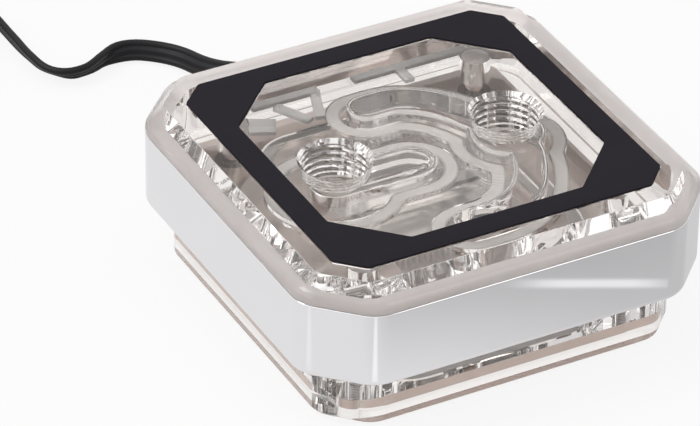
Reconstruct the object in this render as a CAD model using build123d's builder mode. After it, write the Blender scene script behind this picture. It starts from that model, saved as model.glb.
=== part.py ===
"""Liquid cooling block for a processor: clear top, plated ring, copper plate and light ring.

The origin is the middle of the copper plate's bottom face. +Z points up, -Y is the wide front
face, and the lighting lead leaves through the +Y face.
"""

import os
from math import atan2, cos, degrees, pi, radians, sin, sqrt, tan

from build123d import *

# Plan: every outline is a square with cut corners, drawn from the plated ring's half width
RING_HALF = 39.0
RING_LEG_SHARE = 0.249
RING_CORNER_SHARE = 0.18
CROWN_MARGIN = 2.0
CROWN_CORNER_SHARE = 0.5
CROWN_INSET = 1.7
CORE_MARGIN = 4.6
CORE_CORNER_SHARE = 0.79
TRIM_MARGIN = 5.5
TRIM_LEG_SHARE = 0.141
TRIM_CORNER = 1.0
TRIM_BAND = 4.7
WINDOW_LEG_SHARE = 0.388
WINDOW_CORNER = 1.2

# Levels above the copper plate's bottom face
PLATE_TOP = 5.1
BLOCK_BOTTOM = 1.4
RING_BOTTOM = 12.0
JOINT_LEVEL = 16.0
COVER_TOP = 31.3
RING_DROP = 4.7
CROWN_HEIGHT = 2.1
RING_TOP = COVER_TOP - RING_DROP
CROWN_FOOT = COVER_TOP - CROWN_HEIGHT

# Clearances and cutting
SEAT_CLEARANCE = 0.1
RING_CLEARANCE = 0.15
OVERRUN = 1.0

# Cover
LEDGE_ROUND = 2.0
TRIM_THICKNESS = 0.7
TRIM_PROUD = 0.3
FILM_THICKNESS = 0.12
EDGE_BREAK = 0.3

# Ports: G1/4 pipe thread, its crests at the bore
PORT_SHARE = 0.42564
PORT_BORE_RADIUS = 5.72
PORT_MOUTH_RADIUS = 6.65
PORT_DEPTH = 7.0
THROAT_RADIUS = 3.5

# Water chambers, milled into the cover's underside; shares of the ring's half width
CHAMBER_HEIGHT = 6.3
INLET_SHARE = 0.118
INLET_END_SHARE = -0.049
OUTLET_SHARE = 0.0872
RETURN_SHARE = 0.0769
OUTLET_ROUND_X_SHARE = 0.441
OUTLET_ROUND_SHARE = 0.169
UPPER_LANE_SHARES = [(-0.026, 0.467), (0.128, 0.456), (0.272, 0.344), (0.364, 0.18), (PORT_SHARE, 0.0)]
LOWER_LANE_SHARES = [(PORT_SHARE, 0.0), (0.446, -0.164), (0.318, -0.405), (0.144, -0.513), (-0.038, -0.523)]

# Chamber gaskets
GASKET_WIDTH = 2.4
GASKET_HEIGHT = 1.6
GASKET_OFFSET = 2.4
LOBE_SHARE = 0.282

# Copper plate and its fins; shares of the plate's half width
PLATE_MARGIN = 3.4
PLATE_CORNER = 3.0
PLATE_FLANGE = 1.9
FOOT_SHARE = 0.89
FIN_HEIGHT = 3.0
FIN_THICKNESS = 0.5
FIN_PITCH = 1.1
POOL_WIDTH_SHARE = 0.903
POOL_LENGTH_SHARE = 1.387
FIN_LENGTH_SHARE = 0.7
POOL_CORNER = 1.5

# Jet plate between the fins and the block
JET_WIDTH_SHARE = 1.032
JET_LENGTH_SHARE = 0.774
JET_SLOT_SHARE = 0.75
JET_THICKNESS = 0.8
JET_CORNER = 1.0
JET_SLOT_WIDTH = 1.2

# Flow passages of the lower block
SPREADER_SHARE = 0.8125
SPREADER_WIDTH = 7.0
SPREADER_HEIGHT = 1.6
INLET_SLOT_LENGTH = 14.0
INLET_SLOT_WIDTH = 5.0
OUTLET_SLOT_LENGTH = 12.0
OUTLET_SLOT_WIDTH = 3.0
OUTLET_SLOT_X = 3.0
UPPER_SLOT_SHARE = 0.568
LOWER_SLOT_SHARE = -0.632
BLOCK_EDGE_ROUND = 0.5

# Light pockets in the lower block's top face: middle, length and width of each, and its turn
POCKET_DEPTH = 1.6
POCKET_SHARES = [
    (-0.2718, 0.7846, 0.3385, 0.0462),
    (-0.159, 0.6769, 0.2205, 0.0462),
    (-0.2923, 0.6564, 0.1897, 0.0462),
    (-0.4667, 0.6256, 0.1282, 0.1077),
    (0.3744, 0.7846, 0.5949, 0.0462),
    (0.3077, 0.7179, 0.0462, 0.1128),
]
POCKET_TURNS = [0.0, 69.0, -62.0, -27.0, 0.0, 0.0]

# Plate seal
SEAL_WIDTH_SHARE = 0.645
SEAL_LENGTH_SHARE = 0.787
SEAL_CORNER_SHARE = 0.35
SEAL_WIDTH = 2.0
SEAL_HEIGHT = 1.5
SEAL_EDGE_ROUND = 0.5

# Clamping screws and their inserts
SCREW_SHARE = 0.7742
SCREW_RADIUS = 1.5
SCREW_HEAD_RADIUS = 2.8
SCREW_SINK = 0.4
SCREW_TIP_GAP = 1.2
SCREW_HOLE_CLEARANCE = 0.2
SOCKET_RADIUS = 1.0
SOCKET_DEPTH = 0.8
INSERT_RADIUS = 2.75
INSERT_LENGTH = 5.4
INSERT_EDGE_ROUND = 0.6

# Plated ring
RING_WALL = 2.4
RING_LIP = 2.2
RING_FOOT_ROUND = 1.5

# Light ring
BOARD_THICKNESS = 0.6
BOARD_GAP = 3.4
LAMP_WIDTH = 3.5
LAMP_THICKNESS = 1.2
LAMP_SPACING_SHARE = 0.41
LAMP_EDGE = 0.3
LAMP_LIFT_SHARE = 0.511
LAMPS_PER_SIDE = 3
CHIP_LENGTH = 1.0
CHIP_WIDTH = 0.5
CHIP_THICKNESS = 0.5
CHIP_OFFSET = 3.2

# Lead exit
EXIT_X = 0.0
NOTCH_WIDTH = 6.4
NOTCH_HEIGHT = 4.2
NOTCH_CORNER = 1.0
COLLAR_RIM = 1.0
COLLAR_THICKNESS = 1.2
SLEEVE_LENGTH = 5.0
SLEEVE_WIDTH = 5.2
SLEEVE_HEIGHT = 4.1
TAIL_RADIUS = 0.5
TAIL_SPACING = 1.7
TAIL_RISE = 1.1
TAIL_REACH = 1.4
TAIL_CLEARANCE = 0.15

# Lead: a limp three-core ribbon, its width taken as the tube's diameter; Y from the sleeve's end
LEAD_WIDTH = 4.0
BEND_SHARE = 0.45
EXIT_RUN = 9.2
LEAD_BENDS = [
    (-0.8, 20.7, 7.8),
    (-3.2, 29.9, 3.0),
    (-5.6, 39.3, 2.1),
    (-14.2, 45.7, 2.2),
    (-24.4, 40.3, 2.1),
    (-29.5, 44.4, 2.2),
    (-29.8, 55.6, 2.1),
    (-30.6, 67.3, 2.3),
]

# Coil of the spare lead, its tie and the plug
COIL_X = -60.0
COIL_REACH = 66.7
COIL_OUTER = 24.5
COIL_INNER = 19.5
COIL_HEIGHT = 4.4
COIL_LIFT = 0.8
COIL_EDGE_ROUND = 1.0
COIL_GAP = 0.3
ENTRY_ANGLE = 45.0
ENTRY_RUN = 10.0
TIE_THICKNESS = 0.6
TIE_WIDTH = 4.0
TIE_CLEARANCE = 0.2
PLUG_DROP = 9.0
PLUG_SETBACK = 8.4
PLUG_LENGTH = 16.0
PLUG_WIDTH = 9.6
PLUG_HEIGHT = 5.0
PLUG_EDGE_ROUND = 0.4
PLUG_TAIL = 7.2
LATCH_WIDTH = 3.4
LATCH_LENGTH = 9.0
LATCH_HEIGHT = 0.8
CONTACT_SIZE = 1.2
CONTACT_PITCH = 2.5
CONTACT_LENGTH = 9.0
CONTACT_SETBACK = 1.0
SOCKET_OPENING = 1.7
SOCKET_REACH = 12.0

os.makedirs("parts", exist_ok=True)

RING_LEG = RING_HALF * RING_LEG_SHARE
RING_CORNER = RING_HALF * RING_CORNER_SHARE
CROWN_HALF = RING_HALF - CROWN_MARGIN
CROWN_LEG = RING_LEG - CROWN_MARGIN
CROWN_SLOPE = degrees(atan2(CROWN_INSET, COVER_TOP - CROWN_FOOT))
CORE_HALF = RING_HALF - CORE_MARGIN
CORE_LEG = RING_LEG - CORE_MARGIN * (2 - sqrt(2))
TRIM_HALF = CROWN_HALF - TRIM_MARGIN
WINDOW_HALF = TRIM_HALF - TRIM_BAND
TRIM_TOP = COVER_TOP + TRIM_PROUD
TRIM_FLOOR = TRIM_TOP - TRIM_THICKNESS
FILM_FLOOR = TRIM_FLOOR - FILM_THICKNESS
PORT_X = RING_HALF * PORT_SHARE
CHAMBER_TOP = JOINT_LEVEL + CHAMBER_HEIGHT
INLET_HALF = RING_HALF * INLET_SHARE
INLET_END = RING_HALF * INLET_END_SHARE
LOBE_RADIUS = RING_HALF * LOBE_SHARE
PLATE_HALF = CORE_HALF - PLATE_MARGIN
POOL_WIDTH = PLATE_HALF * POOL_WIDTH_SHARE
POOL_LENGTH = PLATE_HALF * POOL_LENGTH_SHARE
FIN_COUNT = int(POOL_WIDTH / FIN_PITCH)
JET_WIDTH = PLATE_HALF * JET_WIDTH_SHARE
JET_LENGTH = PLATE_HALF * JET_LENGTH_SHARE
SEAL_HALF_WIDTH = PLATE_HALF * SEAL_WIDTH_SHARE
SEAL_HALF_LENGTH = PLATE_HALF * SEAL_LENGTH_SHARE
SEAL_CORNER = SEAL_HALF_WIDTH * SEAL_CORNER_SHARE
SCREW_PLACE = PLATE_HALF * SCREW_SHARE
BOARD_FOOT = RING_BOTTOM + RING_LIP
BOARD_HEIGHT = RING_TOP - BOARD_FOOT - BOARD_GAP
CAVITY_HALF = RING_HALF - RING_WALL
BOARD_HALF = CAVITY_HALF - RING_CLEARANCE - BOARD_THICKNESS
EXIT_LEVEL = RING_BOTTOM + NOTCH_HEIGHT / 2
SLEEVE_END = RING_HALF + SEAT_CLEARANCE + COLLAR_THICKNESS + SLEEVE_LENGTH
COIL_Y = SLEEVE_END + COIL_REACH
COIL_MIDDLE = (COIL_OUTER + COIL_INNER) / 2
COIL_LEVEL = COIL_LIFT + COIL_HEIGHT / 2


def cut_square(half, leg, corner):
    """Face of a square with its corners cut at 45 degrees and its eight vertices rounded."""
    with BuildSketch(mode=Mode.PRIVATE) as outline:
        with BuildLine():
            Polyline(
                (-half, -half + leg),
                (-half + leg, -half),
                (half - leg, -half),
                (half, -half + leg),
                (half, half - leg),
                (half - leg, half),
                (-half + leg, half),
                (-half, half - leg),
                close=True,
            )
        make_face()
        fillet(outline.vertices(), corner)
    return outline.sketch


def bend_radii(points):
    """Radius at each corner of a lead: the share of its shorter run that keeps it smooth."""
    radii = []
    for before, corner, after in zip(points, points[1:], points[2:]):
        run_in = Vector(*corner) - Vector(*before)
        run_out = Vector(*after) - Vector(*corner)
        turn = radians(run_in.get_angle(run_out))
        radii.append(BEND_SHARE * min(run_in.length, run_out.length) / tan(turn / 2))
    return radii


def widened(face, amount):
    """The same outline moved outwards by an amount, or inwards by a negative one."""
    with BuildSketch(mode=Mode.PRIVATE) as moved:
        add(face)
        offset(amount=amount)
    return moved.sketch


def lane(shares, half):
    """Round-ended channel of a half width along a bent line, given in shares of the ring."""
    points = [(RING_HALF * x_share, RING_HALF * y_share) for x_share, y_share in shares]
    with BuildSketch(mode=Mode.PRIVATE) as channel:
        for start, end in zip(points, points[1:]):
            SlotCenterPoint((Vector(*start) + Vector(*end)) / 2, end, 2 * half)
    return channel.sketch


def inlet_region(half, lobe):
    """Inlet slot from the left port to the middle, with a round lobe about the port."""
    with BuildSketch(mode=Mode.PRIVATE) as region:
        with Locations(((INLET_END - PORT_X) / 2, 0)):
            SlotCenterToCenter(PORT_X + INLET_END, 2 * half)
        with Locations((-PORT_X, 0)):
            Circle(lobe)
    return region.sketch


def outlet_region(grow):
    """Both return lanes and the round under the right port, all moved outwards by a value."""
    with BuildSketch(mode=Mode.PRIVATE) as region:
        add(lane(UPPER_LANE_SHARES, RING_HALF * OUTLET_SHARE + grow))
        add(lane(LOWER_LANE_SHARES, RING_HALF * RETURN_SHARE + grow))
        with Locations((RING_HALF * OUTLET_ROUND_X_SHARE, 0)):
            Circle(RING_HALF * OUTLET_ROUND_SHARE + grow)
    return region.sketch


def inlet_band(width):
    """Loop of a width that seals the inlet chamber."""
    reach = INLET_HALF + GASKET_OFFSET
    outer = inlet_region(reach + width / 2, LOBE_RADIUS + width / 2)
    return outer - inlet_region(reach - width / 2, LOBE_RADIUS - width / 2)


def outlet_band(width):
    """Loop of a width that seals the outlet chamber."""
    outer = outlet_region(GASKET_OFFSET + width / 2)
    return outer - outlet_region(GASKET_OFFSET - width / 2)


ring_face = cut_square(RING_HALF, RING_LEG, RING_CORNER)
crown_face = cut_square(CROWN_HALF, CROWN_LEG, RING_CORNER * CROWN_CORNER_SHARE)
core_face = cut_square(CORE_HALF, CORE_LEG, RING_CORNER * CORE_CORNER_SHARE)
trim_face = cut_square(TRIM_HALF, TRIM_HALF * TRIM_LEG_SHARE, TRIM_CORNER)
window_face = cut_square(WINDOW_HALF, WINDOW_HALF * WINDOW_LEG_SHARE, WINDOW_CORNER)
cavity_face = widened(ring_face, -RING_WALL)
board_face = widened(cavity_face, -RING_CLEARANCE)
frame_face = trim_face - window_face
recess_face = widened(trim_face, SEAT_CLEARANCE) - widened(window_face, -SEAT_CLEARANCE)
screw_places = GridLocations(2 * SCREW_PLACE, 2 * SCREW_PLACE, 2, 2)
tail_places = Locations(
    (EXIT_X - TAIL_SPACING, BOARD_FOOT + TAIL_RISE),
    (EXIT_X, BOARD_FOOT + TAIL_RISE),
    (EXIT_X + TAIL_SPACING, BOARD_FOOT + TAIL_RISE),
)


# Clear cover: core, flange over the ring, bevelled crown, ports and chambers
with BuildPart() as top_cover:
    with BuildSketch(Plane.XY.offset(JOINT_LEVEL)):
        add(core_face)
    extrude(amount=RING_TOP - JOINT_LEVEL)
    with BuildSketch(Plane.XY.offset(RING_TOP)):
        add(ring_face)
    extrude(amount=CROWN_FOOT - RING_TOP)
    ledge_edges = top_cover.faces().sort_by(Axis.Z)[-1].edges()
    fillet(ledge_edges, LEDGE_ROUND)
    with BuildSketch(Plane.XY.offset(CROWN_FOOT)):
        add(crown_face)
    extrude(amount=COVER_TOP - CROWN_FOOT, taper=CROWN_SLOPE)
    with BuildSketch(Plane.XY.offset(FILM_FLOOR)):
        add(recess_face)
    extrude(amount=COVER_TOP - FILM_FLOOR + OVERRUN, mode=Mode.SUBTRACT)
    with BuildSketch(Plane.XY.offset(JOINT_LEVEL)):
        with Locations(((INLET_END - PORT_X) / 2, 0)):
            SlotCenterToCenter(PORT_X + INLET_END, 2 * INLET_HALF)
        add(outlet_region(0))
    extrude(amount=CHAMBER_HEIGHT, mode=Mode.SUBTRACT)
    with BuildSketch(Plane.XY.offset(JOINT_LEVEL)):
        add(inlet_band(GASKET_WIDTH + 2 * SEAT_CLEARANCE))
        add(outlet_band(GASKET_WIDTH + 2 * SEAT_CLEARANCE))
    extrude(amount=GASKET_HEIGHT, mode=Mode.SUBTRACT)
    with Locations(Plane.XY.offset(COVER_TOP)):
        with GridLocations(2 * PORT_X, 0, 2, 1):
            Hole(PORT_BORE_RADIUS, PORT_DEPTH)
            Hole(THROAT_RADIUS, COVER_TOP - CHAMBER_TOP + OVERRUN)
            mouth = PORT_MOUTH_RADIUS - PORT_BORE_RADIUS
            with Locations((0, 0, -mouth)):
                Cone(
                    PORT_BORE_RADIUS,
                    PORT_MOUTH_RADIUS,
                    mouth,
                    align=(Align.CENTER, Align.CENTER, Align.MIN),
                    mode=Mode.SUBTRACT,
                )
    with BuildSketch(Plane.XY.offset(JOINT_LEVEL)):
        with screw_places:
            Circle(INSERT_RADIUS)
    extrude(amount=INSERT_LENGTH, mode=Mode.SUBTRACT)
top_cover.part.label = "top_cover"
export_step(top_cover.part, "parts/top_cover.step")

# Dark frame let into the cover, and the film that holds it
with BuildPart() as trim_frame:
    with BuildSketch(Plane.XY.offset(TRIM_FLOOR)):
        add(frame_face)
    extrude(amount=TRIM_THICKNESS)
trim_frame.part.label = "trim_frame"
export_step(trim_frame.part, "parts/trim_frame.step")

with BuildPart() as trim_film:
    with BuildSketch(Plane.XY.offset(FILM_FLOOR)):
        add(frame_face)
    extrude(amount=FILM_THICKNESS)
trim_film.part.label = "trim_film"
export_step(trim_film.part, "parts/trim_film.step")

# Plated ring with a foot lip and a notch for the lead
with BuildPart() as housing_ring:
    with BuildSketch(Plane.XY.offset(RING_BOTTOM)):
        add(ring_face)
    extrude(amount=RING_TOP - RING_BOTTOM)
    foot_edges = housing_ring.faces().sort_by(Axis.Z)[0].edges()
    fillet(foot_edges, RING_FOOT_ROUND)
    with BuildSketch(Plane.XY.offset(RING_BOTTOM + RING_LIP)):
        add(cavity_face)
    extrude(amount=RING_TOP - RING_BOTTOM, mode=Mode.SUBTRACT)
    with BuildSketch(Plane.XY.offset(RING_BOTTOM - OVERRUN)):
        add(widened(core_face, RING_CLEARANCE))
    extrude(amount=RING_LIP + 2 * OVERRUN, mode=Mode.SUBTRACT)
    with BuildSketch(Plane.XZ.offset(-RING_HALF - OVERRUN)):
        with Locations((EXIT_X, RING_BOTTOM)):
            Rectangle(NOTCH_WIDTH, 2 * NOTCH_HEIGHT)
    extrude(amount=RING_HALF - CORE_HALF + OVERRUN, mode=Mode.SUBTRACT)
housing_ring.part.label = "housing_ring"
export_step(housing_ring.part, "parts/housing_ring.step")

# Clear lower block that carries the copper plate and leads the water to it
with BuildPart() as base_block:
    with BuildSketch(Plane.XY.offset(BLOCK_BOTTOM)):
        add(core_face)
    extrude(amount=JOINT_LEVEL - BLOCK_BOTTOM)
    fillet(base_block.faces().sort_by(Axis.Z)[0].edges(), BLOCK_EDGE_ROUND)
    with BuildSketch(Plane.XY.offset(BLOCK_BOTTOM - OVERRUN)):
        RectangleRounded(
            2 * (PLATE_HALF + SEAT_CLEARANCE),
            2 * (PLATE_HALF + SEAT_CLEARANCE),
            PLATE_CORNER + SEAT_CLEARANCE,
        )
    extrude(amount=PLATE_TOP - BLOCK_BOTTOM + OVERRUN, mode=Mode.SUBTRACT)
    with BuildSketch(Plane.XY.offset(PLATE_TOP)):
        RectangleRounded(
            JET_WIDTH + 2 * SEAT_CLEARANCE,
            JET_LENGTH + 2 * SEAT_CLEARANCE,
            JET_CORNER + SEAT_CLEARANCE,
        )
    extrude(amount=JET_THICKNESS, mode=Mode.SUBTRACT)
    with BuildSketch(Plane.XY.offset(PLATE_TOP + JET_THICKNESS)):
        SlotOverall(JET_WIDTH * SPREADER_SHARE, SPREADER_WIDTH)
    extrude(amount=SPREADER_HEIGHT, mode=Mode.SUBTRACT)
    with BuildSketch(Plane.XY.offset(PLATE_TOP + JET_THICKNESS)):
        with Locations((INLET_END + INLET_HALF / 2 - INLET_SLOT_LENGTH / 2, 0)):
            SlotOverall(INLET_SLOT_LENGTH, INLET_SLOT_WIDTH)
    extrude(amount=JOINT_LEVEL - PLATE_TOP, mode=Mode.SUBTRACT)
    with BuildSketch(Plane.XY.offset(PLATE_TOP)):
        with Locations(
            (OUTLET_SLOT_X, PLATE_HALF * UPPER_SLOT_SHARE),
            (OUTLET_SLOT_X, PLATE_HALF * LOWER_SLOT_SHARE),
        ):
            SlotOverall(OUTLET_SLOT_LENGTH, OUTLET_SLOT_WIDTH)
    extrude(amount=JOINT_LEVEL - PLATE_TOP, mode=Mode.SUBTRACT)
    with BuildSketch(Plane.XY.offset(PLATE_TOP)):
        groove = SEAL_WIDTH / 2 + SEAT_CLEARANCE
        RectangleRounded(
            2 * (SEAL_HALF_WIDTH + groove), 2 * (SEAL_HALF_LENGTH + groove), SEAL_CORNER + groove
        )
        RectangleRounded(
            2 * (SEAL_HALF_WIDTH - groove),
            2 * (SEAL_HALF_LENGTH - groove),
            SEAL_CORNER - groove,
            mode=Mode.SUBTRACT,
        )
    extrude(amount=SEAL_HEIGHT, mode=Mode.SUBTRACT)
    with BuildSketch(Plane.XY.offset(PLATE_TOP)):
        with screw_places:
            Circle(SCREW_RADIUS + SCREW_HOLE_CLEARANCE)
    extrude(amount=JOINT_LEVEL - PLATE_TOP, mode=Mode.SUBTRACT)
    with BuildSketch(Plane.XY.offset(JOINT_LEVEL)):
        for shares, turn in zip(POCKET_SHARES, POCKET_TURNS):
            pocket_x, pocket_y, length, width = [share * RING_HALF for share in shares]
            with Locations((pocket_x, pocket_y)):
                Rectangle(length, width, rotation=turn)
    extrude(amount=-POCKET_DEPTH, mode=Mode.SUBTRACT)
base_block.part.label = "base_block"
export_step(base_block.part, "parts/base_block.step")

# Copper plate: a flange over a smaller foot, and a pool milled into its top round the fins
with BuildPart() as cold_plate:
    with BuildSketch():
        foot_width = 2 * PLATE_HALF * FOOT_SHARE
        RectangleRounded(foot_width, foot_width, PLATE_CORNER)
    extrude(amount=PLATE_TOP)
    with BuildSketch(Plane.XY.offset(PLATE_TOP)):
        RectangleRounded(2 * PLATE_HALF, 2 * PLATE_HALF, PLATE_CORNER)
    extrude(amount=-PLATE_FLANGE)
    chamfer(cold_plate.faces().sort_by(Axis.Z)[0].edges(), EDGE_BREAK)
    with BuildSketch(Plane.XY.offset(PLATE_TOP - FIN_HEIGHT)):
        RectangleRounded(POOL_WIDTH, POOL_LENGTH, POOL_CORNER)
    extrude(amount=FIN_HEIGHT + OVERRUN, mode=Mode.SUBTRACT)
    with BuildSketch(Plane.XY.offset(PLATE_TOP - FIN_HEIGHT)):
        with GridLocations(FIN_PITCH, 0, FIN_COUNT, 1):
            Rectangle(FIN_THICKNESS, POOL_LENGTH * FIN_LENGTH_SHARE)
    extrude(amount=FIN_HEIGHT)
    with Locations(Plane.XY.rotated((180, 0, 0)).offset(-SCREW_SINK)):
        with screw_places:
            CounterSinkHole(
                SCREW_RADIUS + SCREW_HOLE_CLEARANCE,
                SCREW_HEAD_RADIUS + SCREW_HOLE_CLEARANCE,
                PLATE_TOP + OVERRUN,
            )
    with BuildSketch():
        with screw_places:
            Circle(SCREW_HEAD_RADIUS + SCREW_HOLE_CLEARANCE)
    extrude(amount=SCREW_SINK, mode=Mode.SUBTRACT)
cold_plate.part.label = "cold_plate"
export_step(cold_plate.part, "parts/cold_plate.step")

# Jet plate: its slot lies across the fins
with BuildPart() as jet_plate:
    with BuildSketch(Plane.XY.offset(PLATE_TOP)):
        RectangleRounded(JET_WIDTH, JET_LENGTH, JET_CORNER)
        SlotOverall(JET_WIDTH * JET_SLOT_SHARE, JET_SLOT_WIDTH, mode=Mode.SUBTRACT)
    extrude(amount=JET_THICKNESS)
jet_plate.part.label = "jet_plate"
export_step(jet_plate.part, "parts/jet_plate.step")

# Seals
with BuildPart() as plate_seal:
    with BuildSketch(Plane.XY.offset(PLATE_TOP)):
        RectangleRounded(
            2 * SEAL_HALF_WIDTH + SEAL_WIDTH,
            2 * SEAL_HALF_LENGTH + SEAL_WIDTH,
            SEAL_CORNER + SEAL_WIDTH / 2,
        )
        RectangleRounded(
            2 * SEAL_HALF_WIDTH - SEAL_WIDTH,
            2 * SEAL_HALF_LENGTH - SEAL_WIDTH,
            SEAL_CORNER - SEAL_WIDTH / 2,
            mode=Mode.SUBTRACT,
        )
    extrude(amount=SEAL_HEIGHT)
    fillet(plate_seal.faces().sort_by(Axis.Z)[-1].edges(), SEAL_EDGE_ROUND)
plate_seal.part.label = "plate_seal"
export_step(plate_seal.part, "parts/plate_seal.step")

with BuildPart() as inlet_gasket:
    with BuildSketch(Plane.XY.offset(JOINT_LEVEL)):
        add(inlet_band(GASKET_WIDTH))
    extrude(amount=GASKET_HEIGHT)
inlet_gasket.part.label = "inlet_gasket"
export_step(inlet_gasket.part, "parts/inlet_gasket.step")

with BuildPart() as outlet_gasket:
    with BuildSketch(Plane.XY.offset(JOINT_LEVEL)):
        add(outlet_band(GASKET_WIDTH))
    extrude(amount=GASKET_HEIGHT)
outlet_gasket.part.label = "outlet_gasket"
export_step(outlet_gasket.part, "parts/outlet_gasket.step")

# Threaded inserts in the cover and the screws that clamp plate, block and cover together
screw_tip = JOINT_LEVEL + INSERT_LENGTH - SCREW_TIP_GAP
with BuildPart() as threaded_inserts:
    with BuildSketch(Plane.XY.offset(JOINT_LEVEL)):
        with screw_places:
            Circle(INSERT_RADIUS)
    extrude(amount=INSERT_LENGTH)
    fillet(threaded_inserts.faces().group_by(Axis.Z)[-1].edges(), INSERT_EDGE_ROUND)
    with BuildSketch(Plane.XY.offset(JOINT_LEVEL)):
        with screw_places:
            Circle(SCREW_RADIUS)
    extrude(amount=screw_tip - JOINT_LEVEL, mode=Mode.SUBTRACT)
threaded_inserts.part.label = "threaded_inserts"
export_step(threaded_inserts.part, "parts/threaded_inserts.step")

with BuildPart() as clamp_screws:
    with BuildSketch(Plane.XY.offset(SCREW_SINK)):
        with screw_places:
            Circle(SCREW_RADIUS)
    extrude(amount=screw_tip - SCREW_SINK)
    with Locations(Plane.XY.offset(SCREW_SINK)):
        with screw_places:
            Cone(
                SCREW_HEAD_RADIUS,
                SCREW_RADIUS,
                SCREW_HEAD_RADIUS - SCREW_RADIUS,
                align=(Align.CENTER, Align.CENTER, Align.MIN),
            )
    with BuildSketch(Plane.XY.offset(SCREW_SINK)):
        with screw_places:
            RegularPolygon(SOCKET_RADIUS, 6)
    extrude(amount=SOCKET_DEPTH, mode=Mode.SUBTRACT)
clamp_screws.part.label = "clamp_screws"
export_step(clamp_screws.part, "parts/clamp_screws.step")

# Light ring: a board bent round inside the housing, its lamps facing the clear core
with BuildPart() as led_board:
    with BuildSketch(Plane.XY.offset(BOARD_FOOT)):
        add(board_face)
        add(widened(board_face, -BOARD_THICKNESS), mode=Mode.SUBTRACT)
    extrude(amount=BOARD_HEIGHT)
    with BuildSketch(Plane.XZ.offset(-RING_HALF)):
        with tail_places:
            Circle(TAIL_RADIUS + TAIL_CLEARANCE)
    extrude(amount=RING_HALF - CORE_HALF, mode=Mode.SUBTRACT)
led_board.part.label = "led_board"
export_step(led_board.part, "parts/led_board.step")

lamp_plane = Plane.XY.offset(BOARD_FOOT + BOARD_HEIGHT * LAMP_LIFT_SHARE)
with BuildPart() as leds:
    with Locations(lamp_plane):
        with PolarLocations(BOARD_HALF - LAMP_THICKNESS / 2, 4):
            with GridLocations(0, RING_HALF * LAMP_SPACING_SHARE, 1, LAMPS_PER_SIDE):
                Box(LAMP_THICKNESS, LAMP_WIDTH, LAMP_WIDTH)
    chamfer(leds.edges().filter_by(Axis.Z), LAMP_EDGE)
leds.part.label = "leds"
export_step(leds.part, "parts/leds.step")

with BuildPart() as board_chips:
    with Locations(lamp_plane):
        with PolarLocations(BOARD_HALF - CHIP_THICKNESS / 2, 4):
            with GridLocations(0, RING_HALF * LAMP_SPACING_SHARE, 1, LAMPS_PER_SIDE):
                with Locations((0, CHIP_OFFSET, 0)):
                    Box(CHIP_THICKNESS, CHIP_WIDTH, CHIP_LENGTH)
board_chips.part.label = "board_chips"
export_step(board_chips.part, "parts/board_chips.step")

# Grommet in the ring's notch
with BuildPart() as cable_grommet:
    with BuildSketch(Plane.XZ.offset(-CAVITY_HALF - SEAT_CLEARANCE)):
        with Locations((EXIT_X, EXIT_LEVEL)):
            Rectangle(NOTCH_WIDTH - 2 * SEAT_CLEARANCE, NOTCH_HEIGHT - 2 * SEAT_CLEARANCE)
    extrude(amount=-(RING_HALF - CAVITY_HALF))
    with BuildSketch(Plane.XZ.offset(-RING_HALF - SEAT_CLEARANCE)):
        with Locations((EXIT_X, EXIT_LEVEL)):
            RectangleRounded(
                NOTCH_WIDTH + 2 * COLLAR_RIM, NOTCH_HEIGHT + 2 * COLLAR_RIM, NOTCH_CORNER
            )
    extrude(amount=-COLLAR_THICKNESS)
    sleeve_root = RING_HALF + SEAT_CLEARANCE + COLLAR_THICKNESS
    with BuildSketch(Plane.XZ.offset(-sleeve_root)):
        with Locations((EXIT_X, EXIT_LEVEL)):
            RectangleRounded(NOTCH_WIDTH, NOTCH_HEIGHT, NOTCH_CORNER)
    with BuildSketch(Plane.XZ.offset(-sleeve_root - SLEEVE_LENGTH)):
        with Locations((EXIT_X, EXIT_LEVEL)):
            RectangleRounded(SLEEVE_WIDTH, SLEEVE_HEIGHT, NOTCH_CORNER)
    loft()
cable_grommet.part.label = "cable_grommet"
export_step(cable_grommet.part, "parts/cable_grommet.step")

# Bare ends of the three cores, soldered through the board
with BuildPart() as lead_tails:
    with BuildSketch(Plane.XZ.offset(-CAVITY_HALF - SEAT_CLEARANCE)):
        with tail_places:
            Circle(TAIL_RADIUS)
    extrude(amount=TAIL_REACH)
lead_tails.part.label = "lead_tails"
export_step(lead_tails.part, "parts/lead_tails.step")

# Lighting lead: from the grommet over the floor to the coil, and a short end inside the coil
entry = radians(ENTRY_ANGLE)
entry_radius = COIL_OUTER + COIL_GAP + LEAD_WIDTH / 2
entry_x = COIL_X + entry_radius * cos(entry)
entry_y = COIL_Y + entry_radius * sin(entry)
LEAD_ROUTE = [
    (EXIT_X, SLEEVE_END, EXIT_LEVEL),
    (EXIT_X, SLEEVE_END + EXIT_RUN, EXIT_LEVEL),
    *[(x, SLEEVE_END + reach, z) for x, reach, z in LEAD_BENDS],
    (entry_x + ENTRY_RUN * sin(entry), entry_y - ENTRY_RUN * cos(entry), COIL_LEVEL),
    (entry_x, entry_y, COIL_LEVEL),
]
LEAD_RADII = bend_radii(LEAD_ROUTE)
PLUG_BACK = COIL_X - PLUG_SETBACK
with BuildPart() as led_cable:
    with BuildLine() as route:
        FilletPolyline(*LEAD_ROUTE, radius=LEAD_RADII)
    with BuildSketch(Plane(origin=route.line @ 0, z_dir=route.line % 0)):
        Circle(LEAD_WIDTH / 2)
    sweep()
    with BuildSketch(Plane.YZ.offset(PLUG_BACK)):
        with Locations((COIL_Y - PLUG_DROP, COIL_LEVEL)):
            Circle(LEAD_WIDTH / 2)
    extrude(amount=-PLUG_TAIL)
led_cable.part.label = "led_cable"
export_step(led_cable.part, "parts/led_cable.step")
print("lead bend radii, mm:", [round(radius, 1) for radius in LEAD_RADII])
seen_length = route.wire().length + PLUG_TAIL
expected = pi * (LEAD_WIDTH / 2) ** 2 * seen_length
print("lead length, mm:", round(seen_length, 1))
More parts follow.
